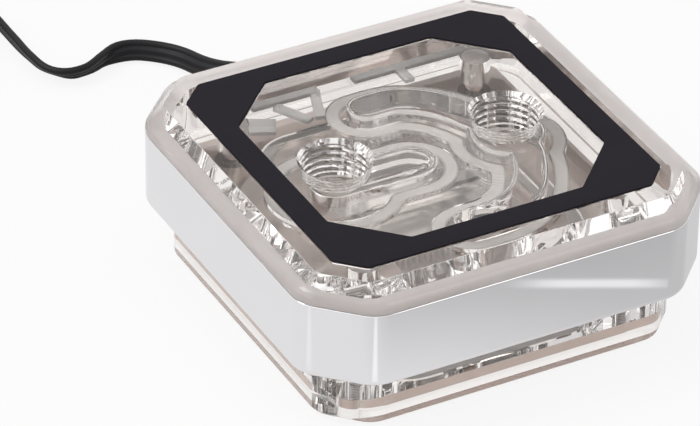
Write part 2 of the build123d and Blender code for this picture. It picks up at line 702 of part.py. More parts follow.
print("lead volume against section times length:", round(led_cable.part.volume / expected, 4))

# Tied coil of the spare lead
with BuildPart() as cable_coil:
    with BuildSketch(Plane.XY.offset(COIL_LIFT)):
        with Locations((COIL_X, COIL_Y)):
            Circle(COIL_OUTER)
            Circle(COIL_INNER, mode=Mode.SUBTRACT)
    extrude(amount=COIL_HEIGHT)
    fillet(cable_coil.edges(), COIL_EDGE_ROUND)
cable_coil.part.label = "cable_coil"
export_step(cable_coil.part, "parts/cable_coil.step")

with BuildPart() as coil_tie:
    with BuildSketch(Plane.YZ.offset(COIL_X)):
        with Locations((COIL_Y + COIL_MIDDLE, COIL_LEVEL)):
            hole_width = COIL_OUTER - COIL_INNER + 2 * TIE_CLEARANCE
            hole_height = COIL_HEIGHT + 2 * TIE_CLEARANCE
            RectangleRounded(
                hole_width + 2 * TIE_THICKNESS,
                hole_height + 2 * TIE_THICKNESS,
                COIL_EDGE_ROUND + TIE_THICKNESS,
            )
            RectangleRounded(hole_width, hole_height, COIL_EDGE_ROUND, mode=Mode.SUBTRACT)
    extrude(amount=TIE_WIDTH / 2, both=True)
coil_tie.part.label = "coil_tie"
export_step(coil_tie.part, "parts/coil_tie.step")

# Plug on the lead's far end: housing with a latch, and its three contacts
with BuildPart() as connector_housing:
    with Locations((PLUG_BACK + PLUG_LENGTH / 2, COIL_Y - PLUG_DROP, COIL_LEVEL)):
        Box(PLUG_LENGTH, PLUG_WIDTH, PLUG_HEIGHT)
    fillet(connector_housing.edges().filter_by(Axis.X), PLUG_EDGE_ROUND)
    with BuildSketch(Plane.XY.offset(COIL_LEVEL + PLUG_HEIGHT / 2)):
        with Locations((PLUG_BACK + PLUG_LENGTH / 2, COIL_Y - PLUG_DROP)):
            Rectangle(LATCH_LENGTH, LATCH_WIDTH)
    extrude(amount=LATCH_HEIGHT)
    with BuildSketch(Plane.YZ.offset(PLUG_BACK + PLUG_LENGTH)):
        with Locations((COIL_Y - PLUG_DROP, COIL_LEVEL)):
            with GridLocations(CONTACT_PITCH, 0, 3, 1):
                Rectangle(SOCKET_OPENING, SOCKET_OPENING)
    extrude(amount=-SOCKET_REACH, mode=Mode.SUBTRACT)
connector_housing.part.label = "connector_housing"
export_step(connector_housing.part, "parts/connector_housing.step")

with BuildPart() as connector_contacts:
    with BuildSketch(Plane.YZ.offset(PLUG_BACK + PLUG_LENGTH - CONTACT_SETBACK)):
        with Locations((COIL_Y - PLUG_DROP, COIL_LEVEL)):
            with GridLocations(CONTACT_PITCH, 0, 3, 1):
                Rectangle(CONTACT_SIZE, CONTACT_SIZE)
    extrude(amount=CONTACT_SETBACK - SOCKET_REACH)
connector_contacts.part.label = "connector_contacts"
export_step(connector_contacts.part, "parts/connector_contacts.step")
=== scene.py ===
"""Dressed model of a clear liquid cooling block for a processor.

The block is a clear cover with two threaded ports on a clear lower block, a copper plate
underneath, a plated ring with its lighting, and the flat lead of that lighting. Sizes in the
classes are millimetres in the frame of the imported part; meshes are made in metres.
"""

import logging
import math
from collections.abc import Callable, Iterable, Sequence
from dataclasses import dataclass, field
from enum import Enum

import bmesh
import bpy
import numpy as np
from mathutils import Matrix, Vector


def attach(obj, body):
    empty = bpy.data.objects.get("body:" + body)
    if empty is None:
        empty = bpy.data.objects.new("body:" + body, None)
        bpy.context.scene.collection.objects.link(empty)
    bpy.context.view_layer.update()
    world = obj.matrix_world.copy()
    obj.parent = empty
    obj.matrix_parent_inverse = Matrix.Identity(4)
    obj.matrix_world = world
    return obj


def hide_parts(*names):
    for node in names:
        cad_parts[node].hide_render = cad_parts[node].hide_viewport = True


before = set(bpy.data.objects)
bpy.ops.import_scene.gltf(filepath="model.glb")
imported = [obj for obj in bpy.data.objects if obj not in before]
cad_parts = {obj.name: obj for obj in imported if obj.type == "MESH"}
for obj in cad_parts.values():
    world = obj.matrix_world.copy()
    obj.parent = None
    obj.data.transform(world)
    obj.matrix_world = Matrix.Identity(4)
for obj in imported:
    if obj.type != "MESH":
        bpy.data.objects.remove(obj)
LOG = logging.getLogger("water_block")
MM = 0.001
ROOT = "root"
IMAGE_WIDTH = 700
OVERRUN = 1.0
FLAT_SHARE = 0.9
LEVEL_TOLERANCE = 0.01
WELD_DISTANCE = 0.001
THREAD_LAND = 0.62
NOISE_DETAIL = 3.0
GRAIN_DETAIL = 2.0
GRAIN_DEPTH = 0.3
MIX_SHARE_IN, MIX_FIRST_IN, MIX_SECOND_IN, MIX_COLOUR_OUT = 0, 6, 7, 2

Point2 = tuple[float, float]
Point3 = tuple[float, float, float]
Ring = list[Point3]


class Grain(Enum):
    """What gives a finish its fine relief."""

    NONE = "none"
    SPECKLE = "speckle"
    BRUSHED = "brushed"
    MILLED = "milled"


GRAIN_STRETCH = {
    Grain.SPECKLE: (1.0, 1.0, 1.0),
    Grain.BRUSHED: (1.0, 0.03, 1.0),
    Grain.MILLED: (0.05, 1.0, 0.05),
}


# ---- geometry ----


@dataclass(frozen=True)
class CutSquare:
    """Outline of a square with its corners cut at 45 degrees and its vertices rounded."""

    half: float
    leg: float
    corner: float

    def points(self, per_corner: int = 10) -> list[Point2]:
        """Points round the outline, the same number for every outline.

        Args:
            per_corner: Number of steps on each rounded vertex.

        Returns:
            Points in order, anticlockwise from the +X side.
        """
        reach = [self.half, (2 * self.half - self.leg) / math.sqrt(2)]
        made = []
        for k in range(8):
            a, b = math.radians(45 * k), math.radians(45 * (k + 1))
            d_a, d_b = reach[k % 2] - self.corner, reach[(k + 1) % 2] - self.corner
            turn = math.sin(b - a)
            x = (d_a * math.sin(b) - d_b * math.sin(a)) / turn
            y = (d_b * math.cos(a) - d_a * math.cos(b)) / turn
            for j in range(per_corner + 1):
                angle = a + (b - a) * j / per_corner
                made.append((x + self.corner * math.cos(angle), y + self.corner * math.sin(angle)))
        return made

    def inset(self, amount: float) -> "CutSquare":
        """The same outline moved inwards by an amount."""
        leg = self.leg - amount * (2 - math.sqrt(2))
        return CutSquare(self.half - amount, leg, max(self.corner - amount, 0.05))

    def depth_of(self, point: Point2) -> float:
        """How far inside the straight sides a point lies."""
        x, y = abs(point[0]), abs(point[1])
        slant = (2 * self.half - self.leg - x - y) / math.sqrt(2)
        return min(self.half - x, self.half - y, slant)


def rounded_box(half_x: float, half_y: float, corner: float, per_corner: int = 8) -> list[Point2]:
    """Outline of a rectangle with round corners about the origin.

    Args:
        half_x: Half of its size along X.
        half_y: Half of its size along Y.
        corner: Radius of its corners.
        per_corner: Number of steps on each corner.

    Returns:
        Points in order round the outline.
    """
    made = []
    for k, (sx, sy) in enumerate(((1, 1), (-1, 1), (-1, -1), (1, -1))):
        cx, cy = sx * (half_x - corner), sy * (half_y - corner)
        for j in range(per_corner + 1):
            angle = math.radians(90 * k + 90 * j / per_corner)
            made.append((cx + corner * math.cos(angle), cy + corner * math.sin(angle)))
    return made


def disc(x: float, y: float, radius: float, count: int = 64) -> list[Point2]:
    """Points round a circle."""
    steps = (2 * math.pi * k / count for k in range(count))
    return [(x + radius * math.cos(a), y + radius * math.sin(a)) for a in steps]


def four_places(reach: float) -> list[Point2]:
    """The four places at a reach to both sides along X and Y."""
    return [(sx * reach, sy * reach) for sx in (-1, 1) for sy in (-1, 1)]


def straight(x: float, y: float, run: float) -> list[Point2]:
    """Middle line of a straight slot along X, a run to both sides of its middle."""
    return [(x + step * run, y) for step in (-1, 0, 1)]


def at_level(points: Iterable[Point2], level: float) -> Ring:
    """The points of an outline at one height."""
    return [(x, y, level) for x, y in points]


def bent_line(points: Sequence[Point2], steps: int = 10) -> list[Point2]:
    """Smooth line through the turning points of a channel.

    Args:
        points: The points that the line goes through.
        steps: Number of steps between two of them.

    Returns:
        Points along the line, ends included.
    """
    ends = [points[0], *points, points[-1]]
    made = []
    for p0, p1, p2, p3 in zip(ends, ends[1:], ends[2:], ends[3:]):
        for j in range(steps):
            t = j / steps
            made.append(
                tuple(
                    0.5
                    * (
                        2 * p1[i]
                        + (p2[i] - p0[i]) * t
                        + (2 * p0[i] - 5 * p1[i] + 4 * p2[i] - p3[i]) * t * t
                        + (3 * p1[i] - p0[i] - 3 * p2[i] + p3[i]) * t**3
                    )
                    for i in range(2)
                )
            )
    return [*made, points[-1]]


def sausage(line: Sequence[Point2], half: float, cap: int = 14) -> list[Point2]:
    """Round-ended outline of a half width about a line.

    Args:
        line: Points of the middle line.
        half: Half of the channel's width.
        cap: Number of steps on each round end.

    Returns:
        Points in order round the outline.
    """
    ways = []
    for k in range(len(line)):
        a, b = line[max(k - 1, 0)], line[min(k + 1, len(line) - 1)]
        ways.append(math.atan2(b[1] - a[1], b[0] - a[0]))

    def beside(k: int, angle: float) -> Point2:
        """Point at the half width from a point of the line."""
        return (line[k][0] + half * math.cos(angle), line[k][1] + half * math.sin(angle))

    right = [beside(k, ways[k] - math.pi / 2) for k in range(len(line))]
    far = [beside(-1, ways[-1] - math.pi / 2 + math.pi * j / cap) for j in range(1, cap)]
    left = [beside(k, ways[k] + math.pi / 2) for k in reversed(range(len(line)))]
    near = [beside(0, ways[0] + math.pi / 2 + math.pi * j / cap) for j in range(1, cap)]
    return [*right, *far, *left, *near]


@dataclass(frozen=True)
class Region:
    """Flat region made of strokes: every point within a reach of a stroke's line is inside."""

    strokes: tuple[tuple[tuple[Point2, ...], float], ...]
    step: float = 0.3

    def _depth(self, x: np.ndarray, y: np.ndarray) -> np.ndarray:
        """Distance from the region's edge, below zero inside it.

        Args:
            x: Places along X.
            y: Places along Y, one for each of x.

        Returns:
            The distance at each place.
        """
        best = np.full(x.shape, 1e9)
        for line, reach in self.strokes:
            for (ax, ay), (bx, by) in zip(line, line[1:] or line):
                run_x, run_y = bx - ax, by - ay
                size = run_x * run_x + run_y * run_y
                share = 0.0
                if size > 0:
                    share = np.clip(((x - ax) * run_x + (y - ay) * run_y) / size, 0.0, 1.0)
                away = np.hypot(x - ax - share * run_x, y - ay - share * run_y)
                best = np.minimum(best, away - reach)
        return best

    def outline(self, grow: float = 0.0, spacing: float = 0.5) -> list[Point2]:
        """Evenly spaced points round the region after it has grown by an amount.

        Args:
            grow: How far the edge moves outwards.
            spacing: Distance between two points.

        Returns:
            Points in order, anticlockwise.
        """
        spots = np.array([point for line, _ in self.strokes for point in line])
        pad = max(reach for _, reach in self.strokes) + grow + 2 * self.step
        xs = np.arange(spots[:, 0].min() - pad, spots[:, 0].max() + pad, self.step)
        ys = np.arange(spots[:, 1].min() - pad, spots[:, 1].max() + pad, self.step)
        depth = self._depth(*np.meshgrid(xs, ys, indexing="ij")) - grow
        inside = depth < 0
        follows = {}
        crossings = {}

        def cross(a: tuple[int, int], b: tuple[int, int]) -> tuple:
            """Notes where the edge crosses between two grid places and gives its key."""
            key = (a, b) if a < b else (b, a)
            (i, j), (m, n) = key
            share = depth[i, j] / (depth[i, j] - depth[m, n])
            crossings[key] = (
                xs[i] + (xs[m] - xs[i]) * share,
                ys[j] + (ys[n] - ys[j]) * share,
            )
            return key

        sums = inside[:-1, :-1].astype(int) + inside[1:, :-1] + inside[:-1, 1:] + inside[1:, 1:]
        for i, j in np.argwhere((sums > 0) & (sums < 4)):
            i, j = int(i), int(j)
            corners = [(i, j), (i + 1, j), (i + 1, j + 1), (i, j + 1)]
            leaving, entering = [], []
            for a, b in zip(corners, corners[1:] + corners[:1]):
                if inside[a] and not inside[b]:
                    leaving.append(cross(a, b))
                elif inside[b] and not inside[a]:
                    entering.append(cross(a, b))
            for out, back in zip(leaving, entering):
                follows[out] = back
        loops = []
        while follows:
            start = next(iter(follows))
            loop, here = [], start
            while here in follows:
                loop.append(crossings[here])
                here = follows.pop(here)
            loops.append(loop)
        return even(max(loops, key=len), spacing)


def even(loop: Sequence[Point2], spacing: float) -> list[Point2]:
    """Evenly spaced points along a closed loop, with its small steps smoothed.

    Args:
        loop: Points in order round the loop.
        spacing: Distance between two of the new points.

    Returns:
        Points in order, anticlockwise.
    """
    points = np.array([*loop, loop[0]])
    along = np.concatenate([[0.0], np.cumsum(np.hypot(*np.diff(points, axis=0).T))])
    count = max(12, round(along[-1] / spacing))
    marks = np.linspace(0.0, along[-1], count, endpoint=False)
    x, y = (np.interp(marks, along, points[:, axis]) for axis in (0, 1))
    for _ in range(2):
        x = 0.5 * x + 0.25 * (np.roll(x, 1) + np.roll(x, -1))
        y = 0.5 * y + 0.25 * (np.roll(y, 1) + np.roll(y, -1))
    area = float(np.sum(x * np.roll(y, -1) - y * np.roll(x, -1)))
    made = [(float(a), float(b)) for a, b in zip(x, y)]
    return made if area > 0 else made[::-1]


def band(mesh_maker: bmesh.types.BMesh, low: Sequence, high: Sequence) -> None:
    """Adds the faces between two rings of vertices.

    Args:
        mesh_maker: The mesh that they are added to.
        low: Vertices of the first ring.
        high: Vertices of the second ring, as many.
    """
    for k in range(len(low)):
        n = (k + 1) % len(low)
        mesh_maker.faces.new((low[k], low[n], high[n], high[k]))


def loft(name: str, rings: Sequence[Ring]) -> bpy.types.Object:
    """Closed solid through rings of equal count, capped at both ends.

    Args:
        name: Name of the new object.
        rings: Rings of points in millimetres, in order.

    Returns:
        The new object, linked to the scene.
    """
    mesh_maker = bmesh.new()
    rows = [[mesh_maker.verts.new(Vector(p) * MM) for p in ring] for ring in rings]
    for low, high in zip(rows, rows[1:]):
        band(mesh_maker, low, high)
    mesh_maker.faces.new(list(reversed(rows[0])))
    mesh_maker.faces.new(rows[-1])
    bmesh.ops.recalc_face_normals(mesh_maker, faces=mesh_maker.faces)
    return from_bmesh(name, mesh_maker)


def hoop(
    name: str, profile: Sequence[tuple[CutSquare, float]], per_corner: int
) -> bpy.types.Object:
    """Closed hoop with a section given by outlines and their levels.

    Args:
        name: Name of the new object.
        profile: Outline and level at each corner of the section, in order.
        per_corner: Number of steps on each rounded vertex of the outlines.

    Returns:
        The new object, linked to the scene.
    """
    mesh_maker = bmesh.new()
    rows = [
        [mesh_maker.verts.new(Vector(p) * MM) for p in at_level(shape.points(per_corner), level)]
        for shape, level in profile
    ]
    for low, high in zip(rows, rows[1:] + rows[:1]):
        band(mesh_maker, low, high)
    bmesh.ops.recalc_face_normals(mesh_maker, faces=mesh_maker.faces)
    return from_bmesh(name, mesh_maker)


def from_bmesh(name: str, mesh_maker: bmesh.types.BMesh) -> bpy.types.Object:
    """Turns a bmesh into a linked object and frees it."""
    mesh = bpy.data.meshes.new(name)
    mesh_maker.to_mesh(mesh)
    mesh_maker.free()
    made = bpy.data.objects.new(name, mesh)
    bpy.context.scene.collection.objects.link(made)
    return made


def prism(name: str, outline: Sequence[Point2], low: float, high: float) -> bpy.types.Object:
    """Upright solid between two heights.

    Args:
        name: Name of the new object.
        outline: Points round the solid.
        low: Bottom height.
        high: Top height.

    Returns:
        The new object.
    """
    return loft(name, [at_level(outline, low), at_level(outline, high)])


def domed(
    name: str, outline: Sequence[Point2], low: float, high: float, radius: float
) -> bpy.types.Object:
    """Upright solid whose top edge is rounded.

    Args:
        name: Name of the new object.
        outline: Points round the solid.
        low: Bottom height.
        high: Top height.
        radius: Radius of the rounded top edge.

    Returns:
        The new object.
    """
    made = prism(name, outline, low, high)
    mesh_maker = bmesh.new()
    mesh_maker.from_mesh(made.data)
    level = (high - LEVEL_TOLERANCE) * MM
    rim = [e for e in mesh_maker.edges if all(v.co.z > level for v in e.verts)]
    bmesh.ops.bevel(
        mesh_maker,
        geom=rim,
        offset=radius * MM,
        offset_type="OFFSET",
        segments=6,
        profile=0.5,
        affect="EDGES",
        clamp_overlap=True,
    )
    mesh_maker.to_mesh(made.data)
    mesh_maker.free()
    return made


def cut_out(body: bpy.types.Object, cutters: Sequence[bpy.types.Object]) -> bpy.types.Object:
    """Cuts solids out of a body and removes them.

    Args:
        body: The solid that is kept.
        cutters: The solids that are taken away from it.

    Returns:
        The same body with its new mesh.
    """
    for cutter in cutters:
        step = body.modifiers.new("cut", "BOOLEAN")
        step.operation = "DIFFERENCE"
        step.solver = "EXACT"
        step.object = cutter
    bpy.context.view_layer.update()
    shape = body.evaluated_get(bpy.context.evaluated_depsgraph_get())
    mesh = bpy.data.meshes.new_from_object(shape)
    body.modifiers.clear()
    old = body.data
    body.data = mesh
    bpy.data.meshes.remove(old)
    for cutter in cutters:
        bpy.data.objects.remove(cutter)
    return body


def smooth(made: bpy.types.Object, angle: float = 32.0, bevel: float = 0.0) -> bpy.types.Object:
    """Smooth shading with sharp edges kept, after an optional small bevel.

    Args:
        made: The object to shade.
        angle: Edges sharper than this many degrees stay sharp.
        bevel: Width of the bevel in millimetres, or 0 for none.

    Returns:
        The same object.
    """
    mesh_maker = bmesh.new()
    mesh_maker.from_mesh(made.data)
    bmesh.ops.remove_doubles(mesh_maker, verts=mesh_maker.verts, dist=WELD_DISTANCE * MM)
    for face in mesh_maker.faces:
        face.smooth = True
    limit = math.radians(angle)
    for edge in mesh_maker.edges:
        edge.smooth = len(edge.link_faces) == 2 and edge.calc_face_angle(0.0) < limit
    mesh_maker.to_mesh(made.data)
    mesh_maker.free()
    if bevel:
        edges = made.modifiers.new("edges", "BEVEL")
        edges.width = bevel * MM
        edges.segments = 2
        edges.limit_method = "ANGLE"
        edges.angle_limit = limit
        edges.use_clamp_overlap = True
    weights = made.modifiers.new("flat faces", "WEIGHTED_NORMAL")
    weights.keep_sharp = True
    weights.weight = 80
    return made


def ridged_shaft(
    name: str,
    place: Point2,
    span: Point2,
    radius: Callable[[float, float], float],
    around: int = 72,
    step: float = 0.14,
) -> bpy.types.Object:
    """Upright shaft whose radius follows the height and the angle, for threads.

    Args:
        name: Name of the new object.
        place: Middle of the shaft.
        span: Bottom and top heights.
        radius: Gives the radius at a height and an angle.
        around: Number of points round the shaft.
        step: Height between two rings.

    Returns:
        The new object.
    """
    low, high = span
    count = max(2, round((high - low) / step))
    rings = []
    for j in range(count + 1):
        z = low + (high - low) * j / count
        ring = []
        for k in range(around):
            a = 2 * math.pi * k / around
            r = radius(z, a)
            ring.append((place[0] + r * math.cos(a), place[1] + r * math.sin(a), z))
        rings.append(ring)
    return loft(name, rings)


def thread(height: float, angle: float, pitch: float) -> float:
    """Depth of a thread's groove, from 0 on the land to 1.

    Args:
        height: Height on the shaft.
        angle: Angle round it.
        pitch: The thread's pitch.

    Returns:
        The depth's share.
    """
    turn = (height / pitch - angle / (2 * math.pi)) % 1.0
    share = max(0.0, 1.0 - abs(2 * turn - 1) / THREAD_LAND)
    return share * share * (3 - 2 * share)


# ---- finishes ----


@dataclass(frozen=True)
class Finish:
    """A surface finish made of shader nodes.

    The colour wanders between two tones, the roughness wanders about its value, and the grain
    gives the fine relief.
    """

    name: str
    colour: tuple[float, float, float]
    second: tuple[float, float, float]
    roughness: float = 0.4
    metallic: float = 0.0
    transmission: float = 0.0
    ior: float = 1.46
    coat: float = 0.0
    specular: float = 0.5
    patch_mm: float = 8.0
    wander: float = 0.04
    grain: Grain = Grain.SPECKLE
    grain_mm: float = 0.3
    relief: float = 0.05

    def build(self) -> bpy.types.Material:
        """Makes the material, or gives the one that was made before."""
        full_name = f"{self.name}_finish"
        known = bpy.data.materials.get(full_name)
        if known:
            return known
        material = bpy.data.materials.new(full_name)
        material.use_nodes = True
        tree = material.node_tree
        shader = tree.nodes["Principled BSDF"]
        shader.inputs["Metallic"].default_value = self.metallic
        shader.inputs["IOR"].default_value = self.ior
        shader.inputs["Transmission Weight"].default_value = self.transmission
        shader.inputs["Coat Weight"].default_value = self.coat
        shader.inputs["Specular IOR Level"].default_value = self.specular
        place = tree.nodes.new("ShaderNodeTexCoord")
        patches = self._noise(tree, place, 1.0 / (self.patch_mm * MM))
        tones = tree.nodes.new("ShaderNodeMix")
        tones.data_type = "RGBA"
        tones.inputs[MIX_FIRST_IN].default_value = (*self.colour, 1.0)
        tones.inputs[MIX_SECOND_IN].default_value = (*self.second, 1.0)
        tree.links.new(patches.outputs["Fac"], tones.inputs[MIX_SHARE_IN])
        tree.links.new(tones.outputs[MIX_COLOUR_OUT], shader.inputs["Base Color"])
        rough = tree.nodes.new("ShaderNodeMapRange")
        rough.inputs["To Min"].default_value = max(self.roughness - self.wander, 0.0)
        rough.inputs["To Max"].default_value = self.roughness + self.wander
        tree.links.new(patches.outputs["Fac"], rough.inputs["Value"])
        tree.links.new(rough.outputs["Result"], shader.inputs["Roughness"])
        if self.grain is not Grain.NONE:
            self._relief(tree, place, shader)
        return material

    def _noise(
        self, tree: bpy.types.NodeTree, place: bpy.types.Node, scale: float
    ) -> bpy.types.Node:
        """Noise over the object's own coordinates.

        Args:
            tree: The material's nodes.
            place: The texture coordinates.
            scale: Number of patches in a metre.

        Returns:
            The noise node.
        """
        noise = tree.nodes.new("ShaderNodeTexNoise")
        noise.inputs["Scale"].default_value = scale
        noise.inputs["Detail"].default_value = NOISE_DETAIL
        tree.links.new(place.outputs["Object"], noise.inputs["Vector"])
        return noise

    def _relief(
        self, tree: bpy.types.NodeTree, place: bpy.types.Node, shader: bpy.types.Node
    ) -> None:
        """Adds the fine relief of the grain to the shader.

        Args:
            tree: The material's nodes.
            place: The texture coordinates.
            shader: The surface shader.
        """
        stretch = tree.nodes.new("ShaderNodeMapping")
        stretch.inputs["Scale"].default_value = GRAIN_STRETCH[self.grain]
        tree.links.new(place.outputs["Object"], stretch.inputs["Vector"])
        noise = tree.nodes.new("ShaderNodeTexNoise")
        noise.inputs["Scale"].default_value = 1.0 / (self.grain_mm * MM)
        noise.inputs["Detail"].default_value = GRAIN_DETAIL
        tree.links.new(stretch.outputs["Vector"], noise.inputs["Vector"])
        bump = tree.nodes.new("ShaderNodeBump")
        bump.inputs["Strength"].default_value = self.relief
        bump.inputs["Distance"].default_value = self.grain_mm * MM * GRAIN_DEPTH
        tree.links.new(noise.outputs["Fac"], bump.inputs["Height"])
        tree.links.new(bump.outputs["Normal"], shader.inputs["Normal"])


def tone(red: int, green: int, blue: int) -> tuple[float, float, float]:
    """Linear colour of an 8-bit display colour.

    Args:
        red: Red from 0 to 255.
        green: Green from 0 to 255.
        blue: Blue from 0 to 255.

    Returns:
        The three linear shares.
    """

    def linear(value: int) -> float:
        """Linear share of one channel."""
        share = value / 255
        return share / 12.92 if share <= 0.04045 else ((share + 0.055) / 1.055) ** 2.4

    return (linear(red), linear(green), linear(blue))


ACRYLIC = Finish(
    "clear_acrylic",
    tone(252, 250, 248),
    tone(250, 247, 245),
    roughness=0.0,
    wander=0.012,
    transmission=1.0,
    ior=1.49,
    grain=Grain.NONE,
)
FROSTED = Finish(
    "frosted_acrylic",
    tone(255, 255, 255),
    tone(252, 251, 250),
    roughness=0.55,
    ior=1.49,
    relief=0.1,
)
BOND = Finish(
    "pale_bond",
    tone(236, 231, 230),
    tone(230, 224, 223),
    roughness=0.35,
    metallic=0.55,
    patch_mm=12.0,
    grain=Grain.NONE,
)
ANODISED = Finish(
    "dark_anodised",
    tone(40, 38, 43),
    tone(37, 35, 40),
    roughness=0.5,
    specular=0.04,
    grain=Grain.BRUSHED,
    grain_mm=0.25,
    relief=0.04,
)
FILM = Finish("adhesive_film", tone(60, 58, 60), tone(48, 46, 48), roughness=0.7)
PLATED = Finish(
    "bright_plate",
    tone(236, 235, 237),
    tone(231, 230, 232),
    roughness=0.05,
    wander=0.02,
    metallic=1.0,
    patch_mm=20.0,
    grain=Grain.NONE,
)
COPPER = Finish(
    "milled_copper",
    tone(230, 213, 205),
    tone(220, 200, 191),
    roughness=0.42,
    wander=0.08,
    metallic=0.4,
    patch_mm=6.0,
    grain=Grain.MILLED,
    grain_mm=0.2,
    relief=0.15,
)
STEEL = Finish(
    "plain_steel",
    tone(205, 202, 200),
    tone(190, 187, 185),
    roughness=0.34,
    metallic=0.6,
    grain=Grain.BRUSHED,
)
NICKEL = Finish(
    "nickel_plated_brass",
    tone(244, 237, 234),
    tone(236, 228, 225),
    roughness=0.45,
    relief=0.1,
)
SILICONE = Finish(
    "pale_silicone",
    tone(250, 247, 245),
    tone(244, 240, 238),
    roughness=0.4,
    transmission=0.25,
    ior=1.41,
    patch_mm=4.0,
    relief=0.08,
)
RUBBER = Finish("black_rubber", tone(36, 35, 37), tone(28, 27, 29), roughness=0.6, relief=0.2)
BOARD = Finish(
    "white_board",
    tone(224, 222, 220),
    tone(208, 205, 203),
    roughness=0.45,
    coat=0.2,
    patch_mm=3.0,
    grain_mm=0.5,
    relief=0.15,
)
LAMP = Finish("lamp_body", tone(238, 234, 214), tone(228, 222, 198), roughness=0.25, coat=0.5)
CHIP = Finish("brown_chip", tone(120, 96, 78), tone(96, 76, 62), roughness=0.5)
BRASS = Finish("plain_brass", tone(204, 174, 118), tone(190, 158, 100), 0.35, metallic=0.9)
JACKET = Finish(
    "black_jacket",
    tone(25, 24, 27),
    tone(20, 19, 22),
    roughness=0.45,
    specular=0.25,
    patch_mm=5.0,
    grain_mm=0.25,
    relief=0.18,
)
STRAP = Finish("black_strap", tone(34, 33, 36), tone(26, 25, 28), roughness=0.7, relief=0.3)
PLUG = Finish("black_plug", tone(40, 40, 42), tone(32, 32, 34), roughness=0.42, relief=0.15)


def dress(
    made: bpy.types.Object, finish: Finish, replaces: Sequence[str] = ()
) -> bpy.types.Object:
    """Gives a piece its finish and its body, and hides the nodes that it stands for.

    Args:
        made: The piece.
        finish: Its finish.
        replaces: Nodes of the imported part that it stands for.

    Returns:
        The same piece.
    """
    made.data.materials.clear()
    made.data.materials.append(finish.build())
    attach(made, ROOT)
    if replaces:
        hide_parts(*replaces)
    return made


def dress_node(name: str, finish: Finish) -> bpy.types.Object:
    """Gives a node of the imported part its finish.

    Args:
        name: The node's name.
        finish: Its finish.

    Returns:
        The node's object.
    """
    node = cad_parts[name]
    for place in node.material_slots:
        place.link = "OBJECT"
        place.material = finish.build()
    return node


# ---- the block ----


@dataclass
class Channels:
    """Water channels in the cover's underside and the gasket loops round them."""

    joint: float = 16.0
    ceiling: float = 22.3
    port_x: float = 16.6
    inlet_half: float = 4.6
    inlet_end: float = -1.9
    upper_half: float = 3.4
    lower_half: float = 3.0
    round_x: float = 17.2
    round_radius: float = 6.6
    lobe_radius: float = 11.0
    ceiling_round: float = 2.0
    gasket_width: float = 2.4
    gasket_height: float = 1.6
    gasket_offset: float = 2.4
    gasket_lift: float = 0.03
    headroom_share: float = 0.2
    upper: tuple[Point2, ...] = ((-1.0, 18.2), (5.0, 17.8), (10.6, 13.4), (14.2, 7.0), (16.6, 0.0))
    lower: tuple[Point2, ...] = (
        (16.6, 0.0),
        (17.4, -6.4),
        (12.4, -15.8),
        (5.6, -20.0),
        (-1.5, -20.4),
    )

    def _inlet_line(self) -> tuple[Point2, ...]:
        """Middle line of the inlet slot."""
        return ((-self.port_x, 0.0), (self.inlet_end, 0.0))

    def _outlet(self) -> Region:
        """Both lanes and the round under the outlet port."""
        return Region(
            (
                (tuple(bent_line(self.upper)), self.upper_half),
                (tuple(bent_line(self.lower)), self.lower_half),
                (((self.round_x, 0.0),), self.round_radius),
            )
        )

    def chambers(self) -> list[bpy.types.Object]:
        """Solids of the two water chambers, with rounded ceilings."""
        low = self.joint - OVERRUN
        inlet = Region(((self._inlet_line(), self.inlet_half),))
        outlines = {"inlet chamber": inlet.outline(), "outlet chamber": self._outlet().outline()}
        return [
            domed(name, outline, low, self.ceiling, self.ceiling_round)
            for name, outline in outlines.items()
        ]

    def loops(self, slack: float = 0.0) -> tuple[bpy.types.Object, bpy.types.Object]:
        """The two gasket loops, or their grooves when a slack is given.

        Args:
            slack: How much wider and higher than the gaskets they are.

        Returns:
            The inlet's loop and the outlet's loop.
        """
        inlet = Region(
            (
                (self._inlet_line(), self.inlet_half + self.gasket_offset),
                (((-self.port_x, 0.0),), self.lobe_radius),
            )
        )
        half = self.gasket_width / 2 + slack
        low = self.joint - OVERRUN if slack else self.joint + self.gasket_lift
        high = self.joint + self.gasket_height + self.headroom_share * slack
        made = []
        for name, region, out in (
            ("inlet loop", inlet, 0.0),
            ("outlet loop", self._outlet(), self.gasket_offset),
        ):
            outer = prism(name, region.outline(out + half), low, high)
            inner = prism("inside", region.outline(out - half), low - OVERRUN, high + OVERRUN)
            made.append(cut_out(outer, [inner]))
        return made[0], made[1]


